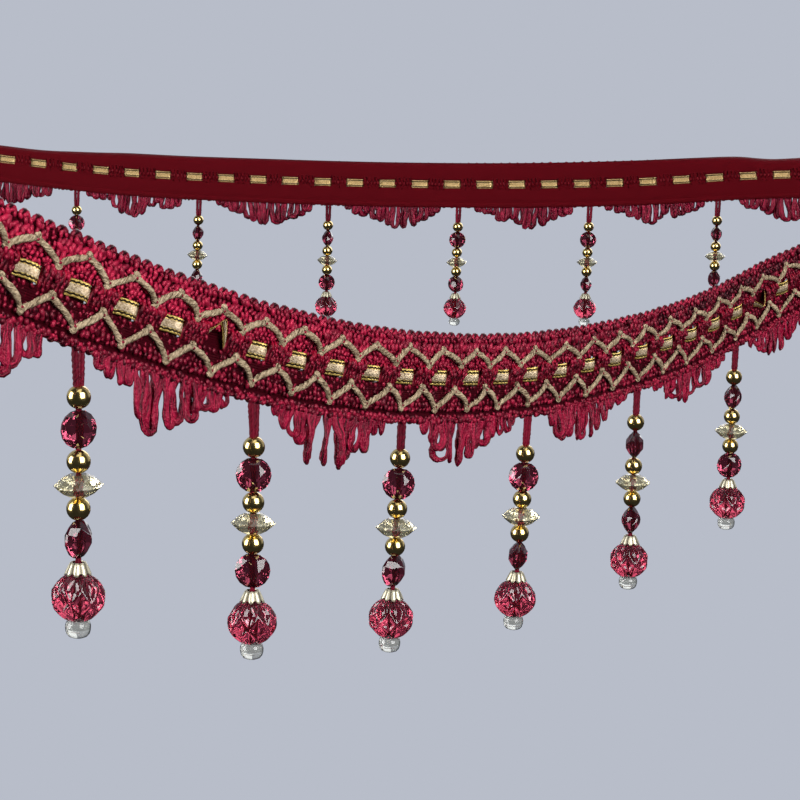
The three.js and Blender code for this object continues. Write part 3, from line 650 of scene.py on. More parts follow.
stitches = {
    # (down, stitches to a box, size, share that shows, how far out, how long)
    "upper": [(1.5, 9, 1.15, 1, 0.35, 1.2), (2.9, 9.5, 1.2, 1, 0.2, 1.7), (4.1, 9.5, 1.15, 1, 0.2, 1.6),
              (5.3, 10, 1.1, 1, 0.15, 1.5), (6.4, 11, 1.0, 1, 0.1, 1.2), (7.4, 11, 1.0, 1, 0.1, 1.2),
              (8.3, 12, 0.85, 1, 0.1, 1), (9.0, 12, 0.7, 1, 0.05, 1)],
    "lower": [(14.1, 8.5, 0.95, 1, 0.15, 1), (15.2, 11, 0.85, 0.85, -0.15, 1.2),
              (16.3, 11, 0.85, 0.85, -0.2, 1.2), (17.4, 11, 0.9, 0.9, -0.1, 1.2),
              (18.6, 9, 1.15, 1, 0.2, 1.3), (19.8, 10, 1.05, 1, 0.1, 1.2), (21.9, 9, 1.15, 1, 0.1, 1),
              (22.9, 9, 1.15, 1, 0.05, 1)],
    # on the bars between boxes
    "bars": [(9.5, 11, 0.95, 1, 0.95, 1.15), (10.3, 11.5, 0.9, 0.95, 0.9, 1.2),
             (11.1, 11, 0.85, 0.8, 0.6, 1.2), (11.9, 11.5, 0.8, 0.6, 0.35, 1.2),
             (12.8, 11, 0.75, 0.5, 0.15, 1.2)],
    # painted light and shade added to the tone along the trim
    "fade": {     # tone added along the trim
        "upper": [(0, 0.4), (120, 0.25), (240, -0.1), (330, -0.35), (490, -0.4), (700, -0.1)],
        "lower": [(0, -0.45), (240, -0.3), (450, -0.2), (700, -0.1)],
        "bars": [(0, 0.1), (120, -0.05), (240, -0.25), (450, -0.4), (700, -0.1)],
        # painted shadow in a band just below the knobs
        "dip": [(0, 0.0), (260, -0.05), (340, -0.3), (420, -0.6), (490, -0.6), (700, -0.2)],
    },
    # from and to down: the band of painted shadow below the knobs
    "dip": (2.0, 5.0),
    "fromBox": 4.3,           # how near to a box's middle those on the bars come
    "reach": 0.65,            # how far they keep from the small gaps
    "halfLong": 0.45,
    "halfWide": 0.52,
    "halfThick": 0.55,
    "lean": (24, 35),         # one way in one row and the other in the next, and how unevenly
    "loose": (0.3, 0.25),     # unevenness of their places and of their heights
    "sizes": 0.33,
    "taper": 0.22,            # how much narrower their ends are
    # painted shade: the tone of those on the bars falls lower down
    "shade": [(10, 1), (13.06, 0.1)],     # (down, share of its tone) of those on the bars
    "front": {"rings": 3, "sides": 6, "seeds": {"upper": 10, "lower": 30, "bars": 20}},
    "far": {"rings": 2, "sides": 4, "seeds": {"upper": 50, "lower": 70, "bars": 60}},
}


def makeStitches(run, part, start, end):
    # each is a short fat yarn that leans one way in one row and the other way in the next
    shift, lift = stitches["loose"]
    fine = stitches[run]
    seed, onBars = fine["seeds"][part], part == "bars"
    gaps = np.array(braid["gaps"]) + stitches["reach"] * np.array([-1, 1, -1, 1])
    found = []
    for number, (down, perBox, size, share, out, long) in enumerate(stitches[part]):
        pitch = boxPitch / perBox
        count = int((end - start) / pitch)
        along = start + pitch * (np.arange(count) + 0.5 * (number % 2))
        loose = unevenness(seed + number, 6, count)
        outward = braid["halfThick"] + out + lift * loose[4]
        away = fromBox(along)[1]
        shown = (loose[3] + 1) / 2 <= share
        if onBars:
            shown &= np.abs(away) > stitches["fromBox"]
        for left, right, top, bottom in gaps:
            shown &= ~((away > left) & (away < right) & (top < down < bottom))
        lean = stitches["lean"][0] * (1 - 2 * (number % 2)) + stitches["lean"][1] * loose[5]
        found.append(stacked(along + shift * loose[0], down + shift * loose[1], outward,
                             size * (1 + stitches["sizes"] * loose[2]), np.radians(lean), long)[shown])
    found = np.concatenate(found)
    places, (sizes, leans, longs) = found[:, None, :3], found[:, 3:].T
    reach = (stitches["halfLong"] * longs * sizes)[:, None] * stacked(np.sin(leans), np.cos(leans), 0)
    t = np.linspace(-1, 1, fine["rings"])
    full = (1 - stitches["taper"] * t**2) * sizes[:, None]
    shape = tubes(places + t[:, None] * reach[:, None], stitches["halfWide"] * full,
                  stitches["halfThick"] * full, fine["sides"], cap=0.26, seed=seed)
    along, down, _ = shape.points.T
    # painted light and shade along the trim from the fade tables, painted shadow in the band below the
    # knobs, and painted shade lower on the bars
    top, bottom = stitches["dip"]
    tone = shape.attributes["tone"] + onTable(stitches["fade"][part], along)
    tone += (down > top) * (down < bottom) * onTable(stitches["fade"]["dip"], along)
    if onBars:
        tone *= onTable(stitches["shade"], down)
    shape.attributes["tone"] = tone
    addPiece(f"stitches_{run}_{part}", shape.hung(), yarn["braidYarn"])


for run, start, end in (("front", 0.7, trim["near"]), ("far", trim["near"], stripLength - 0.7)):
    for part in ("upper", "lower", "bars"):
        makeStitches(run, part, start, end)
print("stitches made")

# Bars: upright strands over the ribbon between its boxes, and behind it at each box

bars = {
    "strands": 6,
    "from": 8.3,
    "to": 13.9,
    "wide": 0.78,
    "thick": 0.5,
    "lean": 1.2,
    "lumps": 0.22,           # how much a strand swells and narrows down its length
    # (share of the way down, height off the cloth): the strands stand out above and fall in below
    "bulge": [(0, 0.2), (0.14, 0.9), (0.28, 1.05), (0.5, 0.6), (0.72, 0.15), (1, 0.05)],
    # (down, share of its tone): painted light above, painted shade below
    "fade": [(8.3, 0.9), (9.6, 0.75), (10.6, 0.4), (11.6, 0.15), (14, 0.0)],
    # painted light along the trim, brighter at the first end
    "along": [(0, 1.2), (250, 1.0), (450, 0.65)],     # the same along the trim
}


def makeBars(name, centres, strands, spread, front, sides, steps, seed):
    # a strand's height off the cloth is read from the bulge table by its way down, and its tone, painted
    # light above and painted shade below, from the fade table
    middle = (centres[:, None] + np.linspace(-spread, spread, strands)).reshape(-1, 1)
    t = np.linspace(0, 1, steps)
    loose = unevenness(seed, 5, len(middle), 1)
    down = bars["from"] + t * (bars["to"] - bars["from"]) + 0.2 * loose[0]
    along = middle + bars["lean"] * (1 + 0.6 * loose[4]) * (0.5 - t) + 0.2 * loose[1]
    along = along + 0.3 * loose[2] * np.sin(3 * t)
    out = front * (0.5 + onTable(bars["bulge"], t) * (1 + 0.2 * loose[3]))
    taper = 1 - 0.35 * (2 * t - 1)**4 + bars["lumps"] * np.sin(14 * t + 3 * loose[3])
    shape = tubes(stacked(along, down, out), bars["wide"] * taper, bars["thick"] * taper, sides,
                  twist=0.9, ridge=0.12, seed=seed)
    along, down, _ = shape.points.T
    # painted light and shade: by the way down from the fade table, and along the trim from the along table
    tone = (0.6 + 0.4 * shape.attributes["tone"]) * onTable(bars["fade"], down)
    shape.attributes["tone"] = tone * onTable(bars["along"], along)
    addPiece(name, shape.hung(), yarn["barYarn" if front > 0 else "backYarn"])


beyond = np.concatenate([boxes[:1] - boxPitch, boxes, boxes[-1:] + boxPitch])
barCentres = (beyond[1:] + beyond[:-1]) / 2
barSpread = boxPitch / 2 - braid["boxHalf"] - 0.85 * bars["wide"]
nearBars = barCentres < trim["near"]
makeBars("bars_near", barCentres[nearBars], bars["strands"], barSpread, 1, 6, 10, 90)
makeBars("bars_far", barCentres[~nearBars], bars["strands"], barSpread, 1, 6, 6, 95)
makeBars("bars_behind", boxes, 5, braid["boxHalf"] - 0.5, -1, 5, 3, 99)
print("bars made")

# Ribbon: gold, arched forward in each box, behind the bars between boxes, folded narrow in two of them

ribbon = {
    "halfWide": 1.95,
    "halfThick": 0.14,
    "crown": 0.16,          # how far its middle line stands over its edges
    "loose": (0.12, 3),     # unevenness of height and place, and how near a box's middle it counts
    "rise": [(0, 1.75), (1.0, 1.7), (2.0, 1.5), (3.0, 1.1), (3.7, 0.7), (4.3, 0.1), (4.9, -0.3),
             (8.4875, -0.3)],
    "columns": [-7.4, -5.8, -4.9, -4.3, -3.7, -3.0, -2.0, -1.0, 0, 1.0, 2.0, 3.0, 3.7, 4.3, 4.9, 5.8],
    "across": [-1.95, -1.6, -1.32, -1.0, 0, 1.0, 1.32, 1.6, 1.95],
    "seamDepth": 0.1,
    # a folded box holds it as a narrow band that stands up as a tent or sags as a bow: (from the box,
    # share of its move down, share of the width)
    "fold": [(-4.9, 0, 1), (-3.7, 0.2, 0.5), (-2.0, 0.62, 0.24), (-0.6, 1, 0.2), (0.4, 0.98, 0.3),
             (1.4, 0.6, 0.6), (2.6, 0.1, 0.72), (3.7, -0.1, 0.8), (4.9, 0, 1)],
}


def makeRibbon():
    # the section is flat with two sunk seams; its height over the cloth is read from the rise
    # table by distance to the nearest box
    along = (boxes[:, None] + np.array(ribbon["columns"])).ravel()
    along = np.concatenate([[0.0], along, [stripLength]])
    box, away = fromBox(along)
    uneven, within = ribbon["loose"]
    loose = uneven * unevenness(120, 3, len(boxes))[:, box] * (np.abs(away) < within)
    moved, width = np.zeros(len(along)), np.ones(len(along))
    foldAt, foldShift, foldWidth = np.transpose(ribbon["fold"])
    for number, shift in trim["foldedBoxes"].items():
        here = box == number
        moved[here] = shift * np.interp(away[here], foldAt, foldShift)
        width[here] = np.interp(away[here], foldAt, foldWidth)
    out = onTable(ribbon["rise"], np.abs(away)) + loose[0] + 0.35 * (1 - width)
    face = np.array(ribbon["across"])
    across = np.concatenate([face, face[::-1]])
    sunk = ribbon["seamDepth"] * np.isclose(np.abs(face), ribbonLook["seams"])
    level = np.concatenate([ribbon["halfThick"] - sunk, 0 * face - ribbon["halfThick"]])
    height = level + ribbon["crown"] * (1 - (across / ribbon["halfWide"])**2)
    down = trim["middle"] + (moved + loose[1])[:, None] + across * width[:, None]
    lifted = out[:, None] + height - 0.5 * across * (1 - width)[:, None]
    rings, sides = down.shape
    ladder = np.arange(len(face) - 1)
    strip = stacked(ladder, sides - 1 - ladder, sides - 2 - ladder, ladder + 1)
    faces = [wrapFaces(rings, sides), strip[:, ::-1], strip + (rings - 1) * sides]
    cloth = stacked(along[:, None], across, level).reshape(-1, 3)
    shape = Shape(stacked(along[:, None], down, lifted), faces, cloth=cloth)
    addPiece("gold_ribbon", shape.hung(flip=False), ribbonFoil, ["ribbon"])


makeRibbon()
print("ribbon made")

# Zigzag cords: each leg arches out of the face between two tacked tips

cords = {
    # how far down its tips lie over a box and over a bar, and its seed
    "lines": {"zigzag_upper": (3.5, 8.5, 87), "zigzag_lower": (19.9, 13.9, 103)},
    "radius": 0.84,
    "onCloth": 1.35,
    "arch": 0.8,       # how far a leg bows out of the face
    "lift": 0.35,      # how far a leg bows upwards
    "legFrom": 0.8,
    "tipHalfWide": 0.4,
    "tip": [(-0.5, 0.4), (-0.28, 0.1), (0.0, 0.0), (0.28, 0.1), (0.5, 0.4)],     # along, towards the legs
    "steps": 8,
    "sides": 8,
    # unevenness of a tip's place along and down, then of a leg's arch, swing, lift and sag
    "loose": (0.45, 0.3, 0.7, 0.35, 0.35, 0.15),
    "swell": 0.15,
    "tie": {"below": 0.95, "halfLong": 0.75, "halfWide": 0.34, "over": 0.6, "steps": 5},
}


def makeZigzag(name, overBox, overBar, seed, boxSlide, barSlide):
    # a leg's height over the cloth is the arch times a half sine wave; at a tip the cord turns back
    # in a tight bend that stands past the two legs
    count = 2 * len(boxes) + 1
    isBox = np.arange(count) % 2 == 1
    tips = firstBox - boxPitch / 2 + boxPitch / 2 * np.arange(count)
    tips = tips + np.where(isBox, boxSlide(tips), barSlide(tips))
    high = np.where(isBox, overBox, overBar)
    toOther = np.sign(high.mean() - high)
    free = unevenness(seed, 6, count)
    loose = np.array(cords["loose"])[:, None] * free
    at, level = tips + loose[0], high + loose[1]
    legTop = level + toOther * cords["legFrom"]
    t = np.linspace(0, 1, cords["steps"])
    bow = np.sin(np.pi * t)
    fromAt, toAt = at[:-1, None] + cords["tipHalfWide"], at[1:, None] - cords["tipHalfWide"]
    arch, swing, lift, sag = loose[2:, :-1, None]
    legAlong = fromAt + (toAt - fromAt) * t + swing * bow
    legDown = legTop[:-1, None] + np.diff(legTop)[:, None] * t
    legDown = legDown - (cords["lift"] + lift) * bow + sag * np.sin(2 * np.pi * t)
    legs = stacked(legAlong, legDown, cords["onCloth"] + cords["arch"] * (1 + arch) * bow)
    tipAlong, tipDown = np.transpose(cords["tip"])
    bends = stacked(at[:, None] + tipAlong, level[:, None] + toOther[:, None] * tipDown, cords["onCloth"])
    path = np.concatenate([np.concatenate([bends[:-1], legs], 1).reshape(-1, 3), bends[-1]])
    radius = cords["radius"] * (1 + cords["swell"] * unevenness(140, len(path)))
    shape = tubes(path[None], radius, radius * 0.8, cords["sides"], twist=0.9, ridge=0.05, cap=0.3)
    mottle = np.repeat(0.5 + 0.5 * unevenness(141, len(path)), cords["sides"])
    shape.attributes["tone"] = np.append(mottle, [0.5, 0.5])
    addPiece(name + "_cord", shape.hung(), yarn["gimpCord"], [name])

    # a dark stitch over each tip ties it down
    tie = cords["tie"]
    span = np.linspace(-1, 1, tie["steps"])
    tieDown = (level + toOther * tie["below"])[:, None] + 0.15 * free[2][:, None] * span
    tieOut = cords["onCloth"] + tie["over"] * np.cos(span * 1.5) - 0.1 * span**2
    ties = stacked(at[:, None] + tie["halfLong"] * span, tieDown, tieOut)
    shape = tubes(ties, tie["halfWide"], tie["halfWide"] * 0.7, 6, seed=7)
    addPiece(name + "_ties", shape.hung(), yarn["braidYarn"])


for (name, line), slide in zip(cords["lines"].items(), (tipSlides[:2], tipSlides[2:])):
    makeZigzag(name, *line, *slide)
print("cords made")

# Picots: knobs of yarn along both edges

picots = {
    "pitch": boxPitch / 4,
    "radius": 0.62,
    "knotRadius": 0.6,
    # one picot's arch and the knot in it: along, down, out; then its steps on the near and far runs
    "top": {
        "arch": [(-1.25, 1.3, -0.2), (-1.38, 0.75, 0.35), (-1.1, 0.12, 0.55), (-0.5, -0.28, 0.5),
                 (0.1, -0.38, 0.35), (0.75, -0.2, 0.45), (1.25, 0.3, 0.5), (1.3, 0.9, 0.3),
                 (1.1, 1.4, -0.2)],
        "knot": [(-0.6, 0.85, 0.6), (0.0, 0.55, 0.85), (0.65, 0.75, 0.6)],
        "steps": (15, 7), "seed": 200},
    "bottom": {
        "arch": [(-0.8, 21.9, 0.3), (-1.0, 22.6, 0.6), (-0.55, 23.15, 0.45), (0, 23.3, 0.25),
                 (0.55, 23.15, 0.45), (1.0, 22.6, 0.6), (0.8, 21.9, 0.3)],
        "knot": [(-0.4, 22.5, 0.7), (0.0, 22.3, 0.95), (0.4, 22.5, 0.7)],
        "steps": (11, 6), "seed": 202},
}


def makePicots(name, row, start, end, steps, sides, seed):
    along = np.arange(start, end, picots["pitch"])[:, None]
    loose = unevenness(seed, 5, len(along), 1)
    parts = []
    for control, count, radius in (
            (row["arch"], steps, picots["radius"]), (row["knot"], 4, picots["knotRadius"])):
        x, y, z = np.transpose(control)
        x = along + 0.15 * loose[0] + x * (1 + 0.08 * loose[3]) + 0.1 * loose[1] * (y - y.mean())
        paths = throughPoints(stacked(x, y + 0.12 * loose[2], z + 0.15 * loose[4]), count)
        wide = radius * (1 + 0.12 * loose[0]) * np.ones(count)
        parts.append(tubes(paths, wide, wide * 0.95, sides, twist=1.6, ridge=0.14,
                           reference=(0.15, 0.1, 1), seed=seed))
    addPiece(name, joined(parts).hung(), yarn["braidYarn"])


half = picots["pitch"] / 2
split = firstBox + boxPitch * round((trim["near"] - firstBox) / boxPitch)
for edge in ("top", "bottom"):
    row = picots[edge]
    makePicots(f"picots_{edge}_near", row, half, split, row["steps"][0], 8, row["seed"])
    makePicots(f"picots_{edge}_far", row, split, stripLength - half, row["steps"][1], 5, row["seed"] + 1)
print("picots made")

# Fringe: scallops of flat yarn loops

fringe = {
    "loops": 14,
    "width": 46.6,         # from the middle of a scallop's first loop to that of its last
    "fromCutEnds": 3,
    "shortest": 1.6,
    "bendHalf": 0.85,      # half width of the narrowest bend
    "from": 22.3,          # where the legs leave the braid
    "halfWide": 1.26,
    "halfThick": 0.56,
    # the far loops are darker as painted shade
    "near": (25, 10, 1, 0),     # a loop's steps and sides, how much wider and how much darker it is
    "far": (13, 6, 1.25, 1.0),
    "legPitch": 2.2,
    "crinkle": 0.1,
    # unevenness of a loop's place, length, half width, turn of its face, lean, curl, stand and width
    "loose": {"place": 0.6, "length": 0.05, "bend": 0.9, "face": 50, "lean": 0.18, "curl": 0.4,
              "stand": 0.9, "width": 0.18},
    # how far down a scallop's loops hang, at even places along it; then scallop by scallop
    "at": np.arange(-24, 25, 4),
    "usual": [3, 5, 7.5, 9, 11.5, 12.5, 12.5, 11.5, 9.5, 7.5, 5.5, 4.5, 2.5],
    "measured": {
        1: [4, 5, 7, 9, 11.5, 13, 13, 12.5, 12, 11.5, 9.8, 6.6, 5.0],
        2: [3, 4.4, 5.6, 4.5, 13.8, 14.3, 12.5, 10.4, 10.7, 6.8, 5.3, 5.2, 3.2],
        3: [2, 5.5, 7.3, 9.1, 13, 14.4, 12.9, 13.9, 11.5, 9.3, 8.9, 4.5, 4],
        4: [2.7, 5.6, 8.3, 11.6, 12.3, 12.4, 13, 7.8, 7.7, 5.4, 4.8, 4.5, 1.8],
        5: [3.4, 8.4, 9.4, 8.3, 9.5, 10.8, 11.2, 10, 7.6, 3.7, 3.0, 3.2, 2.0],
        6: [2.5, 2.2, 7, 5.5, 8.5, 10.2, 10.7, 6.7, 7.2, 8.4, 4.3, 3.8, 1.9],
        7: [3.4, 3.5, 6.7, 8.3, 9.7, 10.4, 10.1, 6.3, 5.9, 5.5, 5, 4, 2.5],
        15: [3, 4, 6, 8, 10, 11.6, 11.6, 11.6, 8.9, 6.7, 5.6, 5, 2],
        16: [2, 5.1, 5.4, 7.2, 8.6, 5, 10.8, 10.2, 8.5, 6.7, 4, 4.2, 2],
        17: [3.5, 5.4, 7, 8.4, 12, 12, 11.2, 6, 7.5, 8, 4.1, 3.4, 1.5],
        18: [2.5, 5, 7, 9, 10.9, 11.8, 12, 9, 8.6, 4, 5.6, 4.8, 2],
        19: [4.2, 6, 8.6, 9.8, 11.8, 11.8, 12.6, 10.7, 10.2, 6.5, 5.9, 4, 1],
        20: [4, 5.4, 6.6, 3, 6.2, 12.4, 11.8, 10.2, 9, 3.8, 3.9, 4, 1.2],
        21: [4.8, 5.3, 6.4, 8, 10.5, 11, 12, 12, 11, 9, 8, 5, 3],
    },
}


def makeLoops(number):
    # a loop's half width is narrow at the head, widest above the bend, and closes in a half circle;
    # its length is read from the scallop's table
    middle = endLength + (number - 1.5) * trim["dropPitch"]
    near = middle < trim["near"] + 20
    steps, sides, wider, darker = fringe["near" if near else "far"]
    loose, free = unevenness(300 + number, 10, fringe["loops"], 1), fringe["loose"]
    spots = np.linspace(-0.5, 0.5, fringe["loops"])[:, None]
    centre = middle + spots * fringe["width"] + free["place"] * loose[0]
    depths = fringe["measured"].get(number, fringe["usual"])
    length = np.interp(centre - middle, fringe["at"], depths) * (1 + free["length"] * loose[1]) + 0.2
    length = np.maximum(length - fringe["halfWide"] * 0.8, fringe["shortest"])

    # leg is 0 at the bend and 1 at the head; the half circle ends at share
    t = np.linspace(-1, 1, steps)
    side, leg = np.sign(t), np.abs(t)**1.6
    opening = np.clip(0.4 + free["bend"] * loose[2], 0, 1.2)
    bendHalf = fringe["bendHalf"] + opening * np.minimum(1.4, 0.1 * length + 0.2)
    share = np.clip(bendHalf / length, 0.1, 0.45)
    swing = np.arcsin(np.clip(leg / share, 0, 1))
    toHead = np.clip((leg - share) / (1 - share), 0, 1)
    straight = length - np.minimum(bendHalf, 0.7 * length)
    widening = bendHalf + (fringe["legPitch"] / 2 - bendHalf) * toHead**1.3
    halfWide = np.where(leg < share, bendHalf * np.sin(swing), widening)
    fall = np.where(leg < share, straight + (length - straight) * np.cos(swing), straight * (1 - toHead))
    face = np.radians(free["face"] * loose[3]) * np.clip(fall / 5, 0, 1)
    crinkle = fringe["crinkle"] * np.clip(fall / 2, 0, 1)
    along = centre + side * halfWide * np.cos(face) + free["lean"] * loose[4] * fall
    along = along + free["curl"] * loose[8] * np.sin(fall * 0.5)
    along = along + crinkle * np.sin(fall * 1.9 + 5 * loose[6] + 2 * side)
    out = 0.45 + free["stand"] * loose[5] * np.clip(fall / 4, 0, 1) + side * halfWide * np.sin(face)
    out = out + crinkle * np.sin(fall * 1.5 + 7 * loose[7] - 2 * side)
    headHigh = trim["dropFrom"] - fringe["from"]
    down = trim["dropFrom"] + fall - headHigh * (1 - np.clip(fall / 1.2, 0, 1))
    tilt = np.radians(24 * loose[6] + 30 * loose[7] * t + 18 * np.sin(0.6 * fall * side + 3 * loose[8]))
    taper = 1 - 0.12 * leg - 0.3 * np.exp(-(leg / 0.1)**2)
    wide = fringe["halfWide"] * wider * (1 + free["width"] * loose[9]) * taper
    inside = np.abs(centre[:, 0] - stripLength / 2) < stripLength / 2 - fringe["fromCutEnds"]
    shape = tubes(stacked(along, down, out)[inside], wide[inside], fringe["halfThick"], sides,
                  roll=tilt[inside], ridge=0.14, cap=0.2, seed=300 + number)
    # painted shade: the far loops darker
    shape.attributes["tone"] = shape.attributes["tone"] - darker
    node = f"fringe_{number:02d}"
    addPiece(node + "_loops", shape.hung(hangYarn), yarn["loopYarn"], [node])


for number in range(1, trim["drops"] + 2):
    makeLoops(number)
print("fringe made")

# Bead drops

# number: (shift along, longer threads, sway towards +X, turn of the first lens, turn of the second,
# how far the upper beads are pushed up, half the distance between its threads' roots)
dropLies = {
    1: (4.2, 1.8, 0.6, 35, 60, 2.0, 1.2),
    2: (1.9, 0.9, 0.8, 5, 0, 0.5, 1.2),
    3: (0, -0.4, -1.3, 0, 50, 0.5, 0.85),
    4: (-1.2, 0.3, -1.7, 5, 88, -0.2, 0.85),
    5: (-1.1, 0.6, 0, 80, 65, 0.95, 0.85),
    6: (0.7, -0.4, 0, 65, 15, -0.2, 0.85),
    15: (2.1, 0, 0, 70, 40, 0.3, 0.8),
    20: (-3.9, 0, 0, 20, 60, 0.3, 0.8),
}


def spread(seed):
    # the part's own even spread of numbers from -1 to 1
    value = math.sin(seed * 12.9898) * 43758.5453
    return 2 * (value - math.floor(value)) - 1


def dropLie(number):
    longer, firstTurn, secondTurn, sway = (spread(number * 5 + k) for k in range(4))
    other = (0, 0.6 * longer, 0.6 * sway, 90 * firstTurn, 90 * secondTurn, 0.3, 0.8)
    return dropLies.get(number, other)


beads = {
    # below: how far under the braid's edge; pushed: the share of a drop's push that moves a bead up
    "gold": {"below": [10.9, 24.2, 34.2], "pushed": [1, 0.55, 0.3], "radius": 2.68, "around": 22,
             "levels": 12},
    "lens": {"below": [17.6, 40.7], "pushed": [0.8, 0.15], "around": 16,
             # radius and place of its rings on one broad side: table, star ring, girdle
             "rings": [(1.5, 2.6), (3.0, 1.6), (4.3, 0.3)]},
    "rondelle": {"below": 29.2, "pushed": 0.4, "around": 12, "rings": [(2.0, 2.5), (3.5, 1.75), (5.5, 0)]},
    "cap": {"top": 45.5, "bottom": 48.1, "flutes": 9, "perFlute": 5, "wall": 0.25},
    "ball": {"below": 53.35, "radius": 6.08, "halfHigh": 5.55, "petals": 8, "carved": 0.17},
    "end": {"below": 60.35, "radius": 2.85, "around": 24,
            "profile": [(0.15, -2.2), (0.45, -2.12), (0.72, -1.8), (0.9, -1.2), (0.99, -0.3), (1.0, 0.6),
                        (0.92, 1.4), (0.7, 1.85), (0.3, 2.05)]},
    "thread": {"radius": 0.82, "inBeads": 0.55, "from": 22.1, "meet": 8.3, "last": 58.9, "steps": 25},
}


def closedRings(rings):
    # rings (levels, around, 3) from the lowest to the highest, closed at the middle of both ends
    levels, around = rings.shape[:2]
    points = np.concatenate([rings.reshape(-1, 3), rings[[0, -1]].mean(1)])
    return Shape(points, [wrapFaces(levels, around), endFans(levels, around)])


def circle(around, radius, height, shift=0.0):
    # rings of points round the thread, at each radius and height
    angle = 2 * np.pi * (np.arange(around) + shift) / around
    return stacked(radius * np.cos(angle), radius * np.sin(angle), height)


def goldBead():
    # a sphere, a little flattened where the thread enters
    size = beads["gold"]
    lift = (np.linspace(-0.97, 0.97, size["levels"]) * np.pi / 2)[:, None]
    height = size["radius"] * np.sin(lift) * 0.985
    return closedRings(circle(size["around"], size["radius"] * np.cos(lift), height))


def lensBead():
    # cut like a coin on edge: a table, a star ring and a girdle on each broad side. The rings lie
    # round the y axis; the thread runs up the z axis.
    size = beads["lens"]
    count = size["around"]
    odd = np.arange(count) % 2     # table and star points lie together in pairs
    side = [(*ring, shift) for ring, shift in zip(size["rings"], (-odd, 1 - odd, 0))]
    rings = [circle(count, radius, -out, shift) for radius, out, shift in side]
    rings += [circle(count, radius, out, shift) for radius, out, shift in side[::-1]]
    whole = closedRings(np.array(rings)[..., [0, 2, 1]])
    quads, fans = whole.faces
    faces = np.concatenate([quads[:, [0, 3, 2]], quads[:, [0, 2, 1]], fans[:, [1, 0, 2]]])

    # points that lie together are merged, and the faces that this empties are dropped
    _, first, number = np.unique(np.round(whole.points, 4), axis=0, return_index=True, return_inverse=True)
    faces = number.reshape(-1)[faces]
    full = (faces != np.roll(faces, 1, axis=1)).all(1)
    return Shape(whole.points[first], [faces[full]])


def rondelleBead():
    # a wide cut bead: table, star ring and sharp rim, the same above and below
    size = beads["rondelle"]
    count = size["around"]
    table, star, rim = size["rings"]
    rows = [(table, -1, 0), (star, -1, 0.5), (rim, 1, 0), (star, 1, 0.5), (table, 1, 0)]
    whole = closedRings(np.array([
        circle(count, radius, high * way, shift) for (radius, high), way, shift in rows]))
    quads, fans = whole.faces
    cuts = ((0, 1, 3), (1, 2, 3)), ((0, 2, 3), (0, 1, 2))
    facets = [level[:, cut] for i, level in enumerate(quads.reshape(-1, count, 4)) for cut in cuts[i % 2]]
    return Shape(whole.points, [np.concatenate([*facets, fans])])


def capBead():
    # a fluted bell of petals: outside down to the pointed rim, then back up the inside
    size = beads["cap"]
    high, around = size["bottom"] - size["top"], size["flutes"] * size["perFlute"]
    t = np.linspace(0, 1, 6)[:, None]
    petal = np.abs(np.cos(size["flutes"] * np.pi * np.arange(around) / around))
    outside = 1.7 + 1.15 * t**0.9 + (0.15 + 0.5 * t) * (petal - 0.6)
    fall = high * t + 0.9 * t**6 * (petal - 0.7)
    down = np.concatenate([fall, fall[::-1] - 0.02])
    radius = np.concatenate([outside, outside[::-1] - size["wall"]])
    rings = circle(around, radius, high / 2 - down)[::-1]
    hollow = np.tile(np.clip(1.5 - 2.2 * petal, 0, 1), len(rings))
    return Shape(rings, [wrapFaces(len(rings), around, closed=True)], hollow=hollow)


def carvedBall(perPetal, levels):
    # a flattened ball. Its skin sinks between the ridges of a lattice: long leaves above, lozenges
    # round the middle and small petals below, each one a smooth hollow between raised lines.
    size = beads["ball"]
    around = size["petals"] * perPetal
    lift = (np.linspace(-0.985, 0.985, levels) * np.pi / 2)[:, None]
    turns, high = np.arange(around) / perPetal, np.sin(lift)
    rise = np.interp(high, [-1, -0.62, -0.12, 0.5, 1], [-1.5, -1.0, -0.5, 0.0, 0.32])
    toRidge = np.minimum(*(np.abs(x - np.rint(x)) for x in (turns + rise, turns - rise)))
    fade = np.clip((1 - np.abs(high)) / 0.2, 0, 1)
    radius = 1 - size["carved"] * np.clip(toRidge / 0.3, 0, 1) * fade
    height = high * (1 - 0.4 * (1 - radius)) * size["halfHigh"]
    return closedRings(circle(around, np.cos(lift) * radius * size["radius"], height))


def endBead():
    # a small clear cup, widest near its top
    size = beads["end"]
    radius, height = np.transpose(size["profile"])[..., None]
    return closedRings(circle(size["around"], size["radius"] * radius, height))


beadShapes = {
    "gold": goldBead(), "lens": lensBead(), "rondelle": rondelleBead(), "cap": capBead(),
    "ballNear": carvedBall(12, 38), "ballFar": carvedBall(6, 20), "end": endBead(),
}


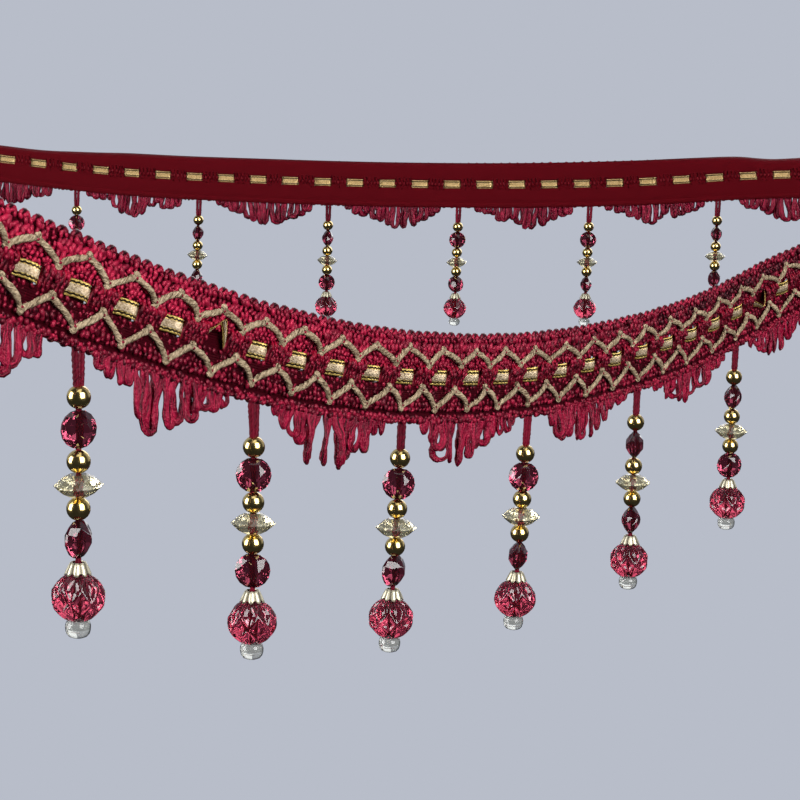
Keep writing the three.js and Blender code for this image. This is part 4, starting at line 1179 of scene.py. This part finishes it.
def dropParts(number):
    shift, longer, sway, lensTurn, secondTurn, push, apart = dropLie(number)
    along = endLength + (number - 1) * trim["dropPitch"] + shift
    anchor = place(along, trim["dropFrom"], 0.0)
    lean = math.tan(math.radians(sway))
    loose = unevenness(500 + number, 12)
    tips = 3.0 * loose

    def plumb(low):
        # on the threads' line, low under the braid's edge
        return anchor + [(low + longer) * lean, 0, -(low + longer)]

    def hung(key, below, turn=0.0, tilt=(0, 0), pushed=0.0):
        # the bead turned about its thread, tipped a little, and hung under the braid's edge
        shape = beadShapes[key]
        x, y, z = shape.points.T
        x, y = turned(x, y, math.radians(turn))
        x, z = turned(x, z, math.radians(tilt[0] + sway))
        y, z = turned(y, z, math.radians(tilt[1]))
        return Shape(stacked(x, y, z) + plumb(below - push * pushed), shape.faces, **shape.attributes)

    # two threads from the braid's edge to the first bead, then together through them all
    size = beads["thread"]
    facing = math.radians(float(headingAt(np.array(along))))
    paths = []
    for side in (-1, 1):
        start = place(along + side * apart, size["from"], 0.1)
        fixed = place(along + side * apart * 0.98, trim["dropFrom"] + 0.8, 0.0)
        wide = np.array([math.cos(facing), math.sin(facing), 0]) * side
        joint = plumb(size["meet"]) + 0.62 * wide
        through, last = plumb(size["meet"] + 3) + 0.3 * wide, plumb(size["last"]) + 0.3 * wide
        route = [start, fixed, (fixed + joint) / 2 + 0.05 * wide, joint, through, (through + last) / 2, last]
        paths.append(throughPoints(np.array([route]), size["steps"])[0])
    thick = np.interp(np.arange(size["steps"]), [12, 14], [size["radius"], size["inBeads"]])
    threads = tubes(np.array(paths), thick, thick * 0.75, 8, twist=1.2, ridge=0.15, reference=(0, 1, 0),
                    seed=500 + number)
    gold, lens, rondelle, cap = (beads[name] for name in ("gold", "lens", "rondelle", "cap"))
    return {
        "lens": [hung("lens", low, turn, (tip, 0), pushed) for low, turn, tip, pushed in
                 zip(lens["below"], (lensTurn, secondTurn), tips, lens["pushed"])],
        "gold": [hung("gold", low, pushed=pushed) for low, pushed in zip(gold["below"], gold["pushed"])],
        "rondelle": [hung("rondelle", rondelle["below"], 40 * loose[3], tips[4:6], rondelle["pushed"])],
        "cap": [hung("cap", (cap["top"] + cap["bottom"]) / 2, 60 * loose[6])],
        "ball": [hung("ballNear" if along < trim["near"] else "ballFar", beads["ball"]["below"],
                      22 * loose[7], (tips[8], 0))],
        "end": [hung("end", beads["end"]["below"])],
        "thread": [threads],
    }


# part: (piece, material, record slot, smooth)
dropPieces = {
    "lens": ("wine_lenses", glass["wineAcrylic"], "wine_bead", False),
    "gold": ("gold_balls", plating["goldPlate"], "gold_bead", True),
    "rondelle": ("clear_rondelles", glass["clearAcrylic"], "clear_bead", False),
    "cap": ("fluted_caps", plating["capMetal"], "bead_cap", True),
    "ball": ("carved_balls", glass["carvedWine"], "carved_bead", True),
    "end": ("end_beads", glass["clearEnd"], "clear_bead", True),
    "thread": ("drop_threads", yarn["dropThread"], "thread", True),
}
dropNumbers = range(1, trim["drops"] + 1)
everyDrop = [dropParts(number) for number in dropNumbers]
for part, (name, material, slot, smooth) in dropPieces.items():
    shape = joined([piece for parts in everyDrop for piece in parts[part]])
    addPiece(name, shape, material, [f"drop_{number:02d}" for number in dropNumbers], smooth)
print("drops made")

# Stage and light

stage = {"backdrop": "b8bdc9", "floorBelow": 0.45, "floorRadius": 9.0, "shade": 0.06, "rear": 0.9,
         "through": 0.3}


def emptyTree(owner):
    owner.use_nodes = True
    owner.node_tree.nodes.clear()
    return owner.node_tree


def seenStrength(tree):
    # full to the eye, and less through clear beads
    path = addNode(tree, "LightPath").outputs
    through = calc(tree, "MULTIPLY", path["Is Transmission Ray"], stage["through"])
    return calc(tree, "MAXIMUM", path["Is Camera Ray"], through)


def makeStage():
    # the floor and the world show the backdrop's colour to the eye and through clear beads, and
    # less of it to reflections, as in a studio whose near side is dark
    bpy.ops.mesh.primitive_circle_add(vertices=96, radius=stage["floorRadius"], fill_type="NGON",
                                      location=(0, 0.3, -stage["floorBelow"]))
    floor = bpy.context.object
    floor.name = "floor"
    material = bpy.data.materials.new("floorPaper")
    tree = emptyTree(material)
    strength = calc(tree, "MAXIMUM", seenStrength(tree), stage["shade"])
    paper = addNode(tree, "Emission", Color=stage["backdrop"], Strength=strength)
    addNode(tree, "OutputMaterial", Surface=paper.outputs[0])
    floor.data.materials.append(material)

    scene.world = bpy.data.worlds.new("studio")
    tree = emptyTree(scene.world)
    upward = axesOf(tree, addNode(tree, "TexCoord").outputs["Generated"])["Y"]
    behind = ramp(tree, upward, 0.1, 0.6, stage["shade"], stage["rear"], smooth=True)
    strength = calc(tree, "MAXIMUM", seenStrength(tree), behind)
    paper = addNode(tree, "Background", Color=stage["backdrop"], Strength=strength)
    addNode(tree, "OutputWorld", Surface=paper.outputs[0])


# name: direction from the trim, distance, width and height in metres, and watts
softboxes = {
    "right": {"from": (0.55, -0.75, 0.37), "distance": 1.45, "size": (0.9, 1.2), "power": 33},
    "left": {"from": (-0.92, -0.32, 0.21), "distance": 1.6, "size": (0.9, 1.2), "power": 30},
    "top": {"from": (0.0, -0.4, 1.0), "distance": 1.5, "size": (1.0, 1.0), "power": 4},
    "rear": {"from": (0.25, 0.9, 0.35), "distance": 1.5, "size": (1.2, 1.2), "power": 7},
}


def makeLights():
    for name, row in softboxes.items():
        data = bpy.data.lights.new(name + "Softbox", "AREA")
        data.shape = "RECTANGLE"
        data.size, data.size_y = row["size"]
        data.energy = row["power"]
        light = bpy.data.objects.new(name + "Softbox", data)
        scene.collection.objects.link(light)
        toward = unit(np.array(row["from"]))
        light.location = np.array([0.0, 0.15, -0.02]) + toward * row["distance"]
        light.rotation_mode = "QUATERNION"
        light.rotation_quaternion = Vector(toward).to_track_quat("Z", "X" if abs(toward[2]) > 0.9 else "Y")
        light.visible_camera = False


makeStage()
makeLights()
scene.view_settings.view_transform = "Standard"
scene.view_settings.look = "None"
print("stage and light made")
